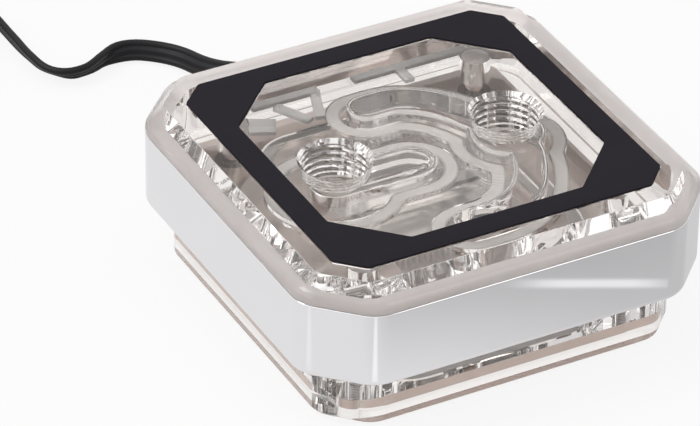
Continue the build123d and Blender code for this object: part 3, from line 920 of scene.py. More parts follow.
@dataclass
class Cover:
    """Clear cover with its bevelled crown, the two threaded ports and the water channels."""

    foot: float = 16.02
    ring_top: float = 26.6
    crown_foot: float = 29.2
    top: float = 31.3
    flange: CutSquare = CutSquare(39.0, 9.71, 7.02)
    seat_gap: float = 0.02
    flange_edge: float = 0.1
    ledge_round: float = 2.0
    ledge_steps: int = 8
    crown: CutSquare = CutSquare(37.0, 7.71, 3.51)
    crown_inset: float = 1.7
    crown_edge: float = 0.06
    crown_edge_drop: float = 0.07
    core: CutSquare = CutSquare(34.4, 7.0, 5.54)
    recess_outer: CutSquare = CutSquare(31.6, 4.48, 1.1)
    recess_inner: CutSquare = CutSquare(26.7, 10.36, 1.1)
    recess_floor: float = 30.74
    port_radius: float = 5.72
    mouth_radius: float = 6.65
    thread_depth: float = 0.3
    thread_pitch: float = 1.337
    thread_end: float = 0.7
    port_rise: float = 0.6
    port_floor: float = 24.3
    throat_radius: float = 3.5
    throat_overlap: float = 0.5
    groove_slack: float = 0.1
    insert_place: float = 24.0
    insert_radius: float = 2.8
    insert_top: float = 21.45
    channels: Channels = field(default_factory=Channels)

    def _shell(self) -> bpy.types.Object:
        """Outside of the cover, without its hollows."""
        edge = self.flange.points()
        crown_foot = self.crown.points()
        seat = self.ring_top + self.seat_gap
        rings = [
            at_level(self.core.points(), self.foot),
            at_level(self.core.points(), seat),
            at_level(self.flange.inset(self.flange_edge).points(), seat),
            at_level(edge, seat + self.flange_edge),
        ]
        radius, depths = self.ledge_round, [self.flange.depth_of(p) for p in crown_foot]
        start = self.crown_foot - radius
        for j in range(self.ledge_steps + 1):
            ring = []
            for outer, inner, depth in zip(edge, crown_foot, depths):
                last = math.acos(max(-1.0, 1 - min(depth, radius) / radius))
                angle = last * j / self.ledge_steps
                share = radius * (1 - math.cos(angle)) / max(depth, 0.01)
                x = outer[0] + (inner[0] - outer[0]) * min(share, 1.0)
                y = outer[1] + (inner[1] - outer[1]) * min(share, 1.0)
                ring.append((x, y, start + radius * math.sin(angle)))
            rings.append(ring)
        crown_top = self.crown.inset(self.crown_inset)
        rings += [
            at_level(crown_top.inset(-self.crown_edge).points(), self.top - self.crown_edge_drop),
            at_level(crown_top.inset(self.crown_edge).points(), self.top),
            at_level(self.recess_outer.points(), self.top),
            at_level(self.recess_outer.points(), self.recess_floor),
            at_level(self.recess_inner.points(), self.recess_floor),
            at_level(self.recess_inner.points(), self.top),
        ]
        return loft("top_cover_clear", rings)

    def _port(self, x: float) -> list[bpy.types.Object]:
        """Threaded bore with its bevelled mouth, and the throat below it.

        Args:
            x: The port's place along X.

        Returns:
            The two solids to cut out.
        """

        def radius(height: float, angle: float) -> float:
            """Radius of the bore at a height and an angle."""
            ridge = self.port_radius + self.thread_depth * thread(height, angle, self.thread_pitch)
            if height < self.port_floor + self.thread_end:
                ridge = self.port_radius
            return min(max(ridge, self.mouth_radius - (self.top - height)), self.mouth_radius)

        span = (self.port_floor, self.top + self.port_rise)
        bore = ridged_shaft("port", (x, 0.0), span, radius, around=96, step=0.12)
        low = self.channels.ceiling - self.throat_overlap
        high = self.port_floor + self.throat_overlap
        return [bore, prism("throat", disc(x, 0.0, self.throat_radius), low, high)]

    def build(self) -> bpy.types.Object:
        """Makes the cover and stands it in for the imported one."""
        body = self._shell()
        cutters = self.channels.chambers()
        cutters += self.channels.loops(self.groove_slack)
        for x in (-self.channels.port_x, self.channels.port_x):
            cutters += self._port(x)
        for x, y in four_places(self.insert_place):
            spot = disc(x, y, self.insert_radius, 40)
            cutters.append(prism("insert", spot, self.foot - OVERRUN, self.insert_top))
        cut_out(body, cutters)
        dress(smooth(body), ACRYLIC, ["top_cover"])
        body.data.materials.append(BOND.build())
        seat = self.ring_top + self.seat_gap
        for face in body.data.polygons:
            on_seat = abs(face.center.z / MM - seat) < LEVEL_TOLERANCE
            face.material_index = int(on_seat and abs(face.normal.z) > FLAT_SHARE)
        return body


@dataclass(frozen=True)
class Pocket:
    """Straight light pocket in the lower block's top face, about its middle."""

    x: float
    y: float
    length: float
    width: float
    turn: float

    def _way(self) -> Point2:
        """Direction of the pocket's length."""
        return math.cos(math.radians(self.turn)), math.sin(math.radians(self.turn))

    def outline(self) -> list[Point2]:
        """The pocket's four corners."""
        c, t = self._way()
        return [
            (
                self.x + (a * self.length * c - b * self.width * t) / 2,
                self.y + (a * self.length * t + b * self.width * c) / 2,
            )
            for a, b in ((1, 1), (-1, 1), (-1, -1), (1, -1))
        ]

    def holds(self, spot: Vector, slack: float) -> bool:
        """Whether a place lies in the pocket or on its walls.

        Args:
            spot: The place, in millimetres.
            slack: How far outside the walls it may lie.

        Returns:
            True where it does.
        """
        c, t = self._way()
        across, over = spot.x - self.x, spot.y - self.y
        along, aside = abs(across * c + over * t), abs(over * c - across * t)
        return max(along - self.length / 2, aside - self.width / 2) < slack


@dataclass
class LowerBlock:
    """Clear lower block over the copper plate, with its passages and light pockets."""

    foot: float = 1.4
    top: float = 15.98
    core: CutSquare = CutSquare(34.4, 7.0, 5.54)
    foot_round: float = 0.5
    foot_steps: int = 4
    plate_half: float = 31.12
    plate_corner: float = 3.1
    plate_top: float = 5.13
    jet_half: Point2 = (16.1, 12.1)
    jet_corner: float = 1.1
    jet_top: float = 5.93
    passage_overlap: float = 0.5
    spreader: Point2 = (9.5, 3.5)
    spreader_top: float = 7.5
    slot_centre: float = -6.6
    slot_run: float = 4.5
    slot_half: float = 2.5
    outlet_x: float = 3.0
    outlet_run: float = 4.5
    outlet_half: float = 1.5
    outlet_places: Point2 = (17.6, -19.6)
    seal_half: Point2 = (20.0, 24.4)
    seal_corner: float = 7.0
    seal_width: float = 2.3
    seal_top: float = 6.65
    screw_place: float = 24.0
    screw_radius: float = 1.7
    pocket_depth: float = 1.6
    pocket_slack: float = 0.05
    pocket_front: float = 21.0
    pockets: tuple[Pocket, ...] = (
        Pocket(-10.6, 30.6, 13.2, 1.8, 0.0),
        Pocket(-6.2, 26.4, 8.6, 1.8, 69.0),
        Pocket(-11.4, 25.6, 7.4, 1.8, -62.0),
        Pocket(-18.2, 24.4, 5.0, 4.2, -27.0),
        Pocket(14.6, 30.6, 23.2, 1.8, 0.0),
        Pocket(12.0, 28.0, 1.8, 4.4, 0.0),
    )

    def _pockets(self) -> list[bpy.types.Object]:
        """Solids of the light pockets in the top face."""
        low, high = self.top - self.pocket_depth, self.top + OVERRUN
        return [prism("pocket", pocket.outline(), low, high) for pocket in self.pockets]

    def _cutters(self) -> list[bpy.types.Object]:
        """Solids of the plate's pocket, the passages and the holes."""
        plate = rounded_box(self.plate_half, self.plate_half, self.plate_corner)
        jet = rounded_box(*self.jet_half, self.jet_corner)
        spreader_run, spreader_half = self.spreader
        spreader = sausage(straight(0.0, 0.0, spreader_run), spreader_half)
        inlet = sausage(straight(self.slot_centre, 0.0, self.slot_run), self.slot_half)
        high = self.top + OVERRUN
        made = [
            prism("plate pocket", plate, self.foot - OVERRUN, self.plate_top),
            prism("jet pocket", jet, self.foot, self.jet_top),
            prism("spreader", spreader, self.plate_top, self.spreader_top),
            prism("inlet", inlet, self.jet_top - self.passage_overlap, high),
        ]
        for y in self.outlet_places:
            outlet = sausage(straight(self.outlet_x, y, self.outlet_run), self.outlet_half)
            made.append(prism("outlet", outlet, self.plate_top - self.passage_overlap, high))
        for x, y in four_places(self.screw_place):
            made.append(prism("screw", disc(x, y, self.screw_radius, 32), self.foot, high))
        return made

    def _groove(self) -> bpy.types.Object:
        """Solid of the seal's groove."""
        x, y = self.seal_half
        half = self.seal_width / 2
        outer = rounded_box(x + half, y + half, self.seal_corner + half)
        inner = rounded_box(x - half, y - half, self.seal_corner - half)
        groove = prism("groove", outer, self.foot, self.seal_top)
        return cut_out(groove, [prism("core", inner, 0.0, self.seal_top + OVERRUN)])

    def build(self) -> bpy.types.Object:
        """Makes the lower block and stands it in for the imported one."""
        rings = []
        for j in range(self.foot_steps + 1):
            angle = math.pi / 2 * j / self.foot_steps
            inset = self.foot_round * (1 - math.sin(angle))
            level = self.foot + self.foot_round * (1 - math.cos(angle))
            rings.append(at_level(self.core.inset(inset).points(), level))
        rings.append(at_level(self.core.points(), self.top))
        body = loft("base_block_clear", rings)
        cut_out(body, [*self._cutters(), self._groove(), *self._pockets()])
        smooth(body)
        dress(body, ACRYLIC, ["base_block"])
        body.data.materials.append(FROSTED.build())
        floor = self.top - self.pocket_depth - LEVEL_TOLERANCE
        for face in body.data.polygons:
            spot = face.center / MM
            if spot.y > self.pocket_front and floor < spot.z < self.top - LEVEL_TOLERANCE:
                level = abs(face.normal.z) > FLAT_SHARE
                inside = any(pocket.holds(spot, self.pocket_slack) for pocket in self.pockets)
                face.material_index = int(level or inside)
        return body


@dataclass
class Trim:
    """Dark frame let into the cover's top, and the film under it."""

    outer: CutSquare = CutSquare(31.5, 4.44, 1.0)
    inner: CutSquare = CutSquare(26.8, 10.4, 1.2)
    floor: float = 30.9
    top: float = 31.6
    edge: float = 0.1
    per_corner: int = 6

    def build(self) -> bpy.types.Object:
        """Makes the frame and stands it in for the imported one."""
        outer, inner = self.outer, self.inner
        profile = [
            (outer, self.floor),
            (outer, self.top - self.edge),
            (outer.inset(self.edge), self.top),
            (inner.inset(-self.edge), self.top),
            (inner, self.top - self.edge),
            (inner, self.floor),
        ]
        made = hoop("trim_frame_dark", profile, self.per_corner)
        dress(smooth(made, 50.0), ANODISED, ["trim_frame"])
        dress_node("trim_film", FILM)
        return made


@dataclass
class PlatedRing:
    """Bright ring round the block, with its foot lip and the notch for the lead."""

    outline: CutSquare = CutSquare(39.0, 9.71, 7.02)
    core: CutSquare = CutSquare(34.4, 7.0, 5.54)
    foot: float = 12.0
    top: float = 26.58
    wall: float = 2.4
    lip: float = 2.2
    foot_round: float = 1.5
    foot_steps: int = 6
    top_round: float = 0.06
    notch: Point2 = (6.4, 4.2)
    notch_reach: Point2 = (34.4, 41.0)
    gap: float = 0.15
    per_corner: int = 16

    def build(self) -> bpy.types.Object:
        """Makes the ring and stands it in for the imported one."""
        shape, core = self.outline, self.core.inset(-self.gap)
        profile = []
        for j in range(self.foot_steps + 1):
            angle = math.pi / 2 * j / self.foot_steps
            inset = self.foot_round * (1 - math.sin(angle))
            level = self.foot + self.foot_round * (1 - math.cos(angle))
            profile.append((shape.inset(inset), level))
        profile += [
            (shape, self.top - self.top_round),
            (shape.inset(self.top_round), self.top),
            (shape.inset(self.wall), self.top),
            (shape.inset(self.wall), self.foot + self.lip),
            (core, self.foot + self.lip),
            (core, self.foot),
        ]
        made = hoop("housing_ring_plated", profile, self.per_corner)
        half = self.notch[0] / 2
        near, far = self.notch_reach
        spot = [(-half, near), (half, near), (half, far), (-half, far)]
        cut_out(made, [prism("notch", spot, self.foot - OVERRUN, self.foot + self.notch[1])])
        return dress(smooth(made), PLATED, ["housing_ring"])


@dataclass
class Seals:
    """Gasket loops of the chambers and the seal of the copper plate."""

    channels: Channels = field(default_factory=Channels)
    edge: float = 0.35

    def build(self) -> list[bpy.types.Object]:
        """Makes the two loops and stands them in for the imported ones."""
        made = []
        for loop, node in zip(self.channels.loops(), ("inlet_gasket", "outlet_gasket")):
            loop.name = f"{node}_loop"
            smooth(loop, bevel=self.edge)
            made.append(dress(loop, SILICONE, [node]))
        dress_node("plate_seal", SILICONE)
        return made


@dataclass
class Fasteners:
    """Countersunk screws with cut threads, and the ribbed inserts that they go into."""

    place: float = 24.0
    head_low: float = 0.4
    head_radius: float = 2.8
    shank_radius: float = 1.5
    thread_depth: float = 0.27
    thread_pitch: float = 0.5
    thread_start: float = 5.2
    tip: float = 20.2
    tip_cone: float = 0.4
    socket_radius: float = 1.0
    socket_depth: float = 0.8
    insert_low: float = 16.05
    insert_top: float = 21.4
    insert_radius: float = 2.72
    knurl: float = 0.06
    knurls: int = 36
    waist: float = 0.35
    end_chamfer: Point2 = (0.2, 0.7)
    bore_gap: float = 0.03
    bore_rise: float = 0.3

    def _screw(self, x: float, y: float) -> bpy.types.Object:
        """One screw, head down.

        Args:
            x: Its place along X.
            y: Its place along Y.

        Returns:
            The new object.
        """

        def radius(height: float, angle: float) -> float:
            """Radius of the screw at a height and an angle."""
            if height < self.thread_start:
                cone = self.head_radius - max(height - self.head_low, 0.0)
                return max(cone, self.shank_radius)
            groove = self.thread_depth * thread(height, angle, self.thread_pitch)
            return self.shank_radius - groove - max(0.0, height - self.tip + self.tip_cone)

        span = (self.head_low, self.tip)
        made = ridged_shaft("screw", (x, y), span, radius, around=32, step=0.1)
        socket = disc(x, y, self.socket_radius, 6)
        high = self.head_low + self.socket_depth
        return cut_out(made, [prism("socket", socket, self.head_low - OVERRUN, high)])

    def _insert(self, x: float, y: float) -> bpy.types.Object:
        """One insert with knurled bands, open at the bottom.

        Args:
            x: Its place along X.
            y: Its place along Y.

        Returns:
            The new object.
        """
        rings = []
        levels = (
            (self.insert_low, 0.0),
            (self.insert_low + 1.9, 0.0),
            (self.insert_low + 2.1, self.waist),
            (self.insert_low + 2.6, self.waist),
            (self.insert_low + 2.8, 0.0),
            (self.insert_top - self.end_chamfer[1], 0.0),
            (self.insert_top - self.end_chamfer[0], self.end_chamfer[0]),
            (self.insert_top, self.end_chamfer[1]),
        )
        count = 2 * self.knurls
        for level, inset in levels:
            ring = []
            for k in range(count):
                angle = 2 * math.pi * k / count
                knurl = self.knurl * (k % 2) if inset == 0.0 else 0.0
                r = self.insert_radius - inset - knurl
                ring.append((x + r * math.cos(angle), y + r * math.sin(angle), level))
            rings.append(ring)
        body = loft("insert", rings)
        bore = disc(x, y, self.shank_radius + self.bore_gap, 32)
        high = self.tip + self.bore_rise
        return cut_out(body, [prism("bore", bore, self.insert_low - OVERRUN, high)])

    def build(self) -> list[bpy.types.Object]:
        """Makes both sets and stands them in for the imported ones."""
        spots = four_places(self.place)
        screws = merge("clamp_screws_cut", [self._screw(x, y) for x, y in spots])
        inserts = merge("threaded_inserts_ribbed", [self._insert(x, y) for x, y in spots])
        dress(smooth(screws, 50.0), STEEL, ["clamp_screws"])
        dress(smooth(inserts, 30.0), NICKEL, ["threaded_inserts"])
        return [screws, inserts]


def merge(name: str, parts: Sequence[bpy.types.Object]) -> bpy.types.Object:
    """Joins the meshes of several objects into one object.

    Args:
        name: Name of the new object.
        parts: The objects, which are removed.

    Returns:
        The new object.
    """
    mesh_maker = bmesh.new()
    for part in parts:
        mesh_maker.from_mesh(part.data)
        bpy.data.objects.remove(part)
    return from_bmesh(name, mesh_maker)


@dataclass
class Inside:
    """Copper plate, jet plate and the lighting parts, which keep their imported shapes."""

    def build(self) -> None:
        """Gives each node its finish."""
        finishes = {
            "cold_plate": COPPER,
            "jet_plate": STEEL,
            "led_board": BOARD,
            "leds": LAMP,
            "board_chips": CHIP,
            "cable_grommet": RUBBER,
            "lead_tails": BRASS,
            "coil_tie": STRAP,
            "connector_housing": PLUG,
            "connector_contacts": BRASS,
        }
        for name, finish in finishes.items():
            dress_node(name, finish)


@dataclass
class Lead:
    """Flat three-core lead: out of the grommet, over the floor, and coiled beside the view."""

    width: float = 4.0
    core_radius: float = 0.7
    core_pitch: float = 1.3
    web: float = 0.28
    section_steps: int = 24
    line_steps: int = 8
    length: float = 0.462
    coil: Point2 = (-60.0, 112.0)
    coil_level: float = 3.0
    coil_outer: float = 23.9
    coil_inner: float = 20.6
    coil_swell: float = 1.012
    coil_start: float = 68.0
    coil_turns: float = 2.3
    per_turn: int = 16
    route: tuple[Point3, ...] = (
        (0.0, 45.3, 14.1),
        (0.0, 54.5, 14.1),
        (-0.8, 66.0, 7.1),
        (-3.2, 75.2, 3.0),
        (-5.6, 84.6, 2.1),
        (-14.2, 91.0, 2.2),
        (-24.4, 85.6, 2.1),
        (-29.5, 89.7, 2.2),
        (-30.2, 100.2, 2.1),
        (-30.2, 113.6, 2.3),
        (-34.0, 123.9, 3.0),
        (-43.6, 132.6, 3.0),
    )
    tail: tuple[Point3, ...] = (
        (-80.3, 107.6, 3.0),
        (-78.2, 103.6, 3.0),
        (-73.6, 102.8, 3.0),
        (-68.4, 103.0, 3.0),
    )
    tilts: tuple[tuple[float, float], ...] = (
        (0.0, 90.0),
        (10.0, 86.0),
        (36.0, 38.0),
        (50.0, 34.0),
        (57.0, -16.0),
        (62.0, -36.0),
        (67.0, -50.0),
        (73.0, -30.0),
        (80.0, -20.0),
        (92.0, -18.0),
        (106.0, 0.0),
    )

    def _points(self) -> list[Point3]:
        """Control points of the whole lead."""
        count = round(self.per_turn * self.coil_turns)
        turns = []
        for k in range(count + 1):
            share = k / count
            angle = math.radians(self.coil_start + 360 * self.coil_turns * share)
            r = self.coil_outer + (self.coil_inner - self.coil_outer) * share
            r *= self.coil_swell
            x, y = self.coil[0] + r * math.cos(angle), self.coil[1] + r * math.sin(angle)
            turns.append((x, y, self.coil_level))
        return [*self.route, *turns, *self.tail]

    def _line(self) -> list[Vector]:
        """Points of the smooth spline that the lead follows, in metres."""
        curve = bpy.data.curves.new("lead line", "CURVE")
        curve.dimensions = "3D"
        curve.resolution_u = self.line_steps
        points = self._points()
        spline = curve.splines.new("NURBS")
        spline.points.add(len(points) - 1)
        for spot, point in zip(spline.points, points):
            spot.co = (*(value * MM for value in point), 1.0)
        spline.order_u = 3
        spline.use_endpoint_u = True
        holder = bpy.data.objects.new("lead line", curve)
        bpy.context.scene.collection.objects.link(holder)
        bpy.context.view_layer.update()
        seen = holder.evaluated_get(bpy.context.evaluated_depsgraph_get())
        mesh = bpy.data.meshes.new_from_object(seen)
        line = [vertex.co.copy() for vertex in mesh.vertices]
        bpy.data.objects.remove(holder)
        bpy.data.curves.remove(curve)
        bpy.data.meshes.remove(mesh)
        return line

    def _profile(self) -> list[Point2]:
        """Section of the three cores side by side, across and through."""
        edge = self.core_pitch + self.core_radius
        upper = []
        for j in range(self.section_steps + 1):
            w = -edge * math.cos(math.pi * j / self.section_steps)
            off = w - self.core_pitch * max(-1, min(1, round(w / self.core_pitch)))
            bulge = math.sqrt(max(self.core_radius**2 - off**2, 0.0))
            inside = abs(w) < self.core_pitch
            upper.append((w, max(bulge, self.web) if inside else bulge))
        lower = [(w, -t) for w, t in reversed(upper[1:-1])]
        return [*upper, *lower]

    def _tilt(self, distance: float) -> float:
        """Lean of the ribbon from upright.

        Args:
            distance: How far along the lead, in millimetres.

        Returns:
            The lean in radians.
        """
        marks = self.tilts
        if distance >= marks[-1][0]:
            return math.radians(marks[-1][1])
        for (a, first), (b, second) in zip(marks, marks[1:]):
            if a <= distance < b:
                share = (distance - a) / (b - a)
                share = share * share * (3 - 2 * share)
                return math.radians(first + (second - first) * share)
        return math.radians(marks[0][1])

    def build(self) -> bpy.types.Object:
        line, profile = self._line(), self._profile()
        rings, distance = [], 0.0
        for k, point in enumerate(line):
            ahead = line[min(k + 1, len(line) - 1)] - line[max(k - 1, 0)]
            along = ahead.normalized()
            upright = (Vector((0, 0, 1)) - along * along.z).normalized()
            side = along.cross(upright)
            distance += (point - line[k - 1]).length / MM if k else 0.0
            lean = self._tilt(distance)
            wide = upright * math.cos(lean) + side * math.sin(lean)
            through = along.cross(wide)
            middle = point / MM
            rings.append([tuple(middle + wide * w + through * t) for w, t in profile])
        made = loft("lighting_lead", rings)
        dress(smooth(made, 40.0), JACKET, ["led_cable", "cable_coil"])
        return made


# ---- surroundings ----


@dataclass(frozen=True)
class SoftBox:
    """Soft bright or dark area of the studio's surroundings.

    A level above zero adds light and a level below zero takes it away.
    """

    name: str
    towards: Point3
    inner: float
    outer: float
    level: float


@dataclass(frozen=True)
class Glint:
    """Painted highlight: a bright soft line on the floor, in millimetres, that only reflections
    show.
    """

    start: Point2
    end: Point2
    half: float
    level: float


@dataclass(frozen=True)
class SoftLamp:
    """Square lamp that looks at the block, in metres and watts."""

    name: str
    place: Point3
    size: float
    power: float


@dataclass
class Studio:
    """Pale floor with painted shade and glints that only reflections show, white surroundings and
    soft lamps.
    """

    floor_size: float = 6.0
    floor_level: float = -0.00006
    room_level: float = 0.5
    glass_level: float = 1.05
    boxes: tuple[SoftBox, ...] = (
        SoftBox("overhead", (-0.25, 0.1, 0.96), 28.0, 46.0, 0.5),
        SoftBox("left window", (-0.95, 0.15, 0.25), 22.0, 34.0, 0.4),
        SoftBox("back card", (0.39, 0.73, 0.56), 16.0, 30.0, -0.15),
    )
    # Painted shade of the floor in reflections: lighter to the left, darker to the front and the
    # right, with a painted brighter band close to the block.
    painted_floor_shade: Point2 = (0.79, 0.48)
    near_span: Point2 = (25.0, 105.0)
    close_light: float = 0.12
    close_span: Point2 = (-75.0, -52.0)
    glint_core: float = 0.3
    paper: float = 0.82
    eye_share: float = 0.88
    metal_share: float = 0.8
    glass_share: float = 0.75
    bounces: int = 48
    # Painted highlights: soft bright lines on the floor that only reflections show.
    glints: tuple[Glint, ...] = (
        Glint((-33.0, -48.0), (-45.5, -82.0), 4.5, 0.3),
        Glint((-50.0, -33.0), (-80.0, -39.5), 5.0, 0.12),
        Glint((12.0, -72.4), (43.4, -56.2), 1.9, 0.5),
    )
    lamps: tuple[SoftLamp, ...] = (
        SoftLamp("key", (-0.75, 0.35, 1.0), 0.6, 5.0),
        SoftLamp("fill", (0.6, -0.9, 0.7), 0.6, 1.5),
    )

    def _maths(
        self, tree: bpy.types.NodeTree, what: str, one: object, two: object
    ) -> bpy.types.NodeSocket:
        """Joins two values with a maths node.

        Args:
            tree: The nodes.
            what: The operation's name.
            one: First socket or number.
            two: Second socket or number.

        Returns:
            The result's socket.
        """
        node = tree.nodes.new("ShaderNodeMath")
        node.operation = what
        for place, value in zip(node.inputs, (one, two)):
            if isinstance(value, bpy.types.NodeSocket):
                tree.links.new(value, place)
            else:
                place.default_value = value
        return node.outputs[0]

    def _glint_light(
        self, tree: bpy.types.NodeTree, where: bpy.types.NodeSocket, glint: Glint
    ) -> bpy.types.NodeSocket:
        """Light of one glint, which fades along and across its line.

        Args:
            tree: The floor's nodes.
            where: The place on the floor, in metres.
            glint: The line.

        Returns:
            The socket with its light.
        """
        start, end = (Vector((*spot, 0.0)) * MM for spot in (glint.start, glint.end))
        run, middle = end - start, (start + end) / 2
        along = run.normalized()
        across = Vector((-along.y, along.x, 0.0))
        light: object = glint.level
        for way, reach in ((along, run.length / 2), (across, glint.half * MM)):
            spot = tree.nodes.new("ShaderNodeVectorMath")
            spot.operation = "DOT_PRODUCT"
            spot.inputs[1].default_value = way
            tree.links.new(where, spot.inputs[0])
            apart = self._maths(tree, "SUBTRACT", spot.outputs["Value"], middle.dot(way))
            fade = tree.nodes.new("ShaderNodeMapRange")
            fade.interpolation_type = "SMOOTHSTEP"
            fade.inputs["From Min"].default_value = reach
            fade.inputs["From Max"].default_value = self.glint_core * reach
            tree.links.new(self._maths(tree, "ABSOLUTE", apart, 0.0), fade.inputs["Value"])
            light = self._maths(tree, "MULTIPLY", fade.outputs[0], light)
        return light

    def _ramp(
        self, tree: bpy.types.NodeTree, value: bpy.types.NodeSocket, span: Point2, levels: Point2
    ) -> bpy.types.Node:
        """Ramp of a value along a span of the floor.

        Args:
            tree: The floor's nodes.
            value: The place along the span, in metres.
            span: Its start and end in millimetres.
            levels: The light at its start and end.

        Returns:
            The ramp's node.
        """
        ramp = tree.nodes.new("ShaderNodeMapRange")
        ramp.inputs["From Min"].default_value = span[0] * MM
        ramp.inputs["From Max"].default_value = span[1] * MM
        ramp.inputs["To Min"].default_value = levels[0]
        ramp.inputs["To Max"].default_value = levels[1]
        tree.links.new(value, ramp.inputs["Value"])
        return ramp

    def _floor_light(self, tree: bpy.types.NodeTree) -> bpy.types.NodeSocket:
        """Painted light and shade of the floor in reflections, which shades off to the front and
        the right, with a painted brighter band close to the block and painted glints.

        Args:
            tree: The floor's nodes.

        Returns:
            The socket with the light.
        """
        place = tree.nodes.new("ShaderNodeTexCoord").outputs["Object"]
        apart = tree.nodes.new("ShaderNodeSeparateXYZ")
        tree.links.new(place, apart.inputs[0])
        close = self._ramp(tree, apart.outputs["Y"], self.close_span, (0.0, self.close_light))
        side = self._maths(tree, "SUBTRACT", apart.outputs["X"], apart.outputs["Y"])
        shade = self._ramp(tree, side, self.near_span, self.painted_floor_shade)
        shade.interpolation_type = "SMOOTHSTEP"
        total = self._maths(tree, "ADD", shade.outputs[0], close.outputs[0])
        for glint in self.glints:
            total = self._maths(tree, "ADD", total, self._glint_light(tree, place, glint))
        return total

    def _floor(self) -> bpy.types.Object:
        """Floor that looks white to the camera and keeps the block's shadow."""
        half = self.floor_size / 2
        mesh_maker = bmesh.new()
        corners = ((-half, -half), (half, -half), (half, half), (-half, half))
        mesh_maker.faces.new([mesh_maker.verts.new((x, y, self.floor_level)) for x, y in corners])
        floor = from_bmesh("studio_floor", mesh_maker)
        material = bpy.data.materials.new("studio_floor")
        material.use_nodes = True
        tree = material.node_tree
        tree.nodes.clear()
        output = tree.nodes.new("ShaderNodeOutputMaterial")
        mix = tree.nodes.new("ShaderNodeMixShader")
        paper = tree.nodes.new("ShaderNodeBsdfDiffuse")
        paper.inputs["Color"].default_value = (self.paper, self.paper, self.paper, 1.0)
        white = tree.nodes.new("ShaderNodeEmission")
        path = tree.nodes.new("ShaderNodeLightPath")
        clear = self._maths(
            tree, "MAXIMUM", path.outputs["Is Camera Ray"], path.outputs["Is Transmission Ray"]
        )
        # The floor's painted light and shade reach only reflections; the camera sees it white.
        full = self._maths(tree, "MAXIMUM", self._floor_light(tree), clear)
        tree.links.new(full, white.inputs["Strength"])
        share: object = 0.0
        for ray, part in (
            ("Is Camera Ray", self.eye_share),
            ("Is Glossy Ray", self.metal_share),
            ("Is Transmission Ray", self.glass_share),
        ):
            seen = self._maths(tree, "MULTIPLY", path.outputs[ray], part)
            share = self._maths(tree, "MAXIMUM", share, seen)
        tree.links.new(share, mix.inputs[0])
        tree.links.new(paper.outputs[0], mix.inputs[1])
        tree.links.new(white.outputs[0], mix.inputs[2])
        tree.links.new(mix.outputs[0], output.inputs[0])
        floor.data.materials.append(material)
        return floor

    def _world(self) -> None:
        """White world for the camera, and a room with soft boxes for everything else."""
        world = bpy.data.worlds.new("studio")
        bpy.context.scene.world = world
        world.use_nodes = True
        tree = world.node_tree
        background = tree.nodes["Background"]
        background.inputs["Color"].default_value = (1.0, 1.0, 1.0, 1.0)
        way = tree.nodes.new("ShaderNodeTexCoord")
        path = tree.nodes.new("ShaderNodeLightPath")
        glass = self._maths(
            tree, "MAXIMUM", path.outputs["Is Glossy Ray"], path.outputs["Is Transmission Ray"]
        )
        more = self._maths(tree, "MULTIPLY", glass, self.glass_level - self.room_level)
        total = self._maths(tree, "ADD", more, self.room_level)
        for box in self.boxes:
            near = tree.nodes.new("ShaderNodeVectorMath")
            near.operation = "DOT_PRODUCT"
            near.inputs[1].default_value = Vector(box.towards).normalized()
            tree.links.new(way.outputs["Generated"], near.inputs[0])
            soft = tree.nodes.new("ShaderNodeMapRange")
            soft.interpolation_type = "SMOOTHSTEP"
            soft.inputs["From Min"].default_value = math.cos(math.radians(box.outer))
            soft.inputs["From Max"].default_value = math.cos(math.radians(box.inner))
            soft.inputs["To Max"].default_value = box.level
            tree.links.new(near.outputs["Value"], soft.inputs["Value"])
            total = self._maths(tree, "ADD", soft.outputs[0], total)
        seen = self._maths(tree, "MAXIMUM", total, path.outputs["Is Camera Ray"])
        tree.links.new(seen, background.inputs["Strength"])

    def _hang(self, lamp: SoftLamp) -> None:
        """Hangs a lamp where it looks at the block."""
        light = bpy.data.lights.new(lamp.name, "AREA")
        light.size = lamp.size
        light.energy = lamp.power
        holder = bpy.data.objects.new(lamp.name, light)
        holder.location = lamp.place
        holder.rotation_euler = Vector(lamp.place).to_track_quat("Z", "Y").to_euler()
        bpy.context.scene.collection.objects.link(holder)

    def build(self) -> None:
        """Makes the floor, the world and the lamps."""
        self._floor()
        self._world()
        for lamp in self.lamps:
            self._hang(lamp)
        scene = bpy.context.scene
        scene.view_settings.view_transform = "Standard"
        scene.cycles.max_bounces = self.bounces
        scene.cycles.transmission_bounces = self.bounces
        scene.cycles.glossy_bounces = self.bounces


@dataclass
class ViewPoint:
    """Camera at the photograph's viewing angle."""

    azimuth: float = -28.3634038
    elevation: float = 33.9067341
    distance: float = 853.165
    roll: float = 0.719515785
    target: Point3 = (-22.3171, -16.0019, 31.6)
    focal_px: float = 5103.54336
    sensor: float = 36.0
    near_clip: float = 0.05

    def build(self) -> bpy.types.Object:
        """Makes the camera and looks through it."""
        az, el, roll = (math.radians(v) for v in (self.azimuth, self.elevation, self.roll))
        back = Vector((math.sin(az) * math.cos(el), -math.cos(az) * math.cos(el), math.sin(el)))
        right = Vector((0, 0, 1)).cross(back).normalized()
        up = back.cross(right)
        across = right * math.cos(roll) + up * math.sin(roll)
        over = up * math.cos(roll) - right * math.sin(roll)
        place = (Vector(self.target) + back * self.distance) * MM
        turn = Matrix((across, over, back)).transposed()
        data = bpy.data.cameras.new("view")
        data.sensor_width = self.sensor
        data.lens = self.focal_px / IMAGE_WIDTH * self.sensor
        data.clip_start = self.near_clip
        camera = bpy.data.objects.new("view", data)
        camera.matrix_world = Matrix.Translation(place) @ turn.to_4x4()
        bpy.context.scene.collection.objects.link(camera)
        bpy.context.scene.camera = camera
        return camera


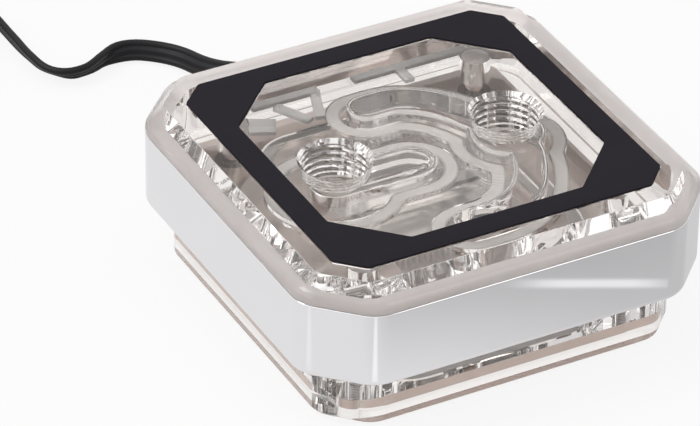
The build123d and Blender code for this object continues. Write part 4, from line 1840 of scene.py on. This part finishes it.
def main() -> None:
    """Builds the block, its lead and its surroundings in order."""
    logging.basicConfig(level=logging.INFO, format="%(name)s: %(message)s")
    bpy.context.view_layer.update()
    steps = (
        ("camera", ViewPoint()),
        ("studio", Studio()),
        ("cover", Cover()),
        ("lower block", LowerBlock()),
        ("trim", Trim()),
        ("plated ring", PlatedRing()),
        ("seals", Seals()),
        ("fasteners", Fasteners()),
        ("inside parts", Inside()),
        ("lead", Lead()),
    )
    for name, maker in steps:
        maker.build()
        LOG.info("built %s", name)


if __name__ == "__main__":
    main()
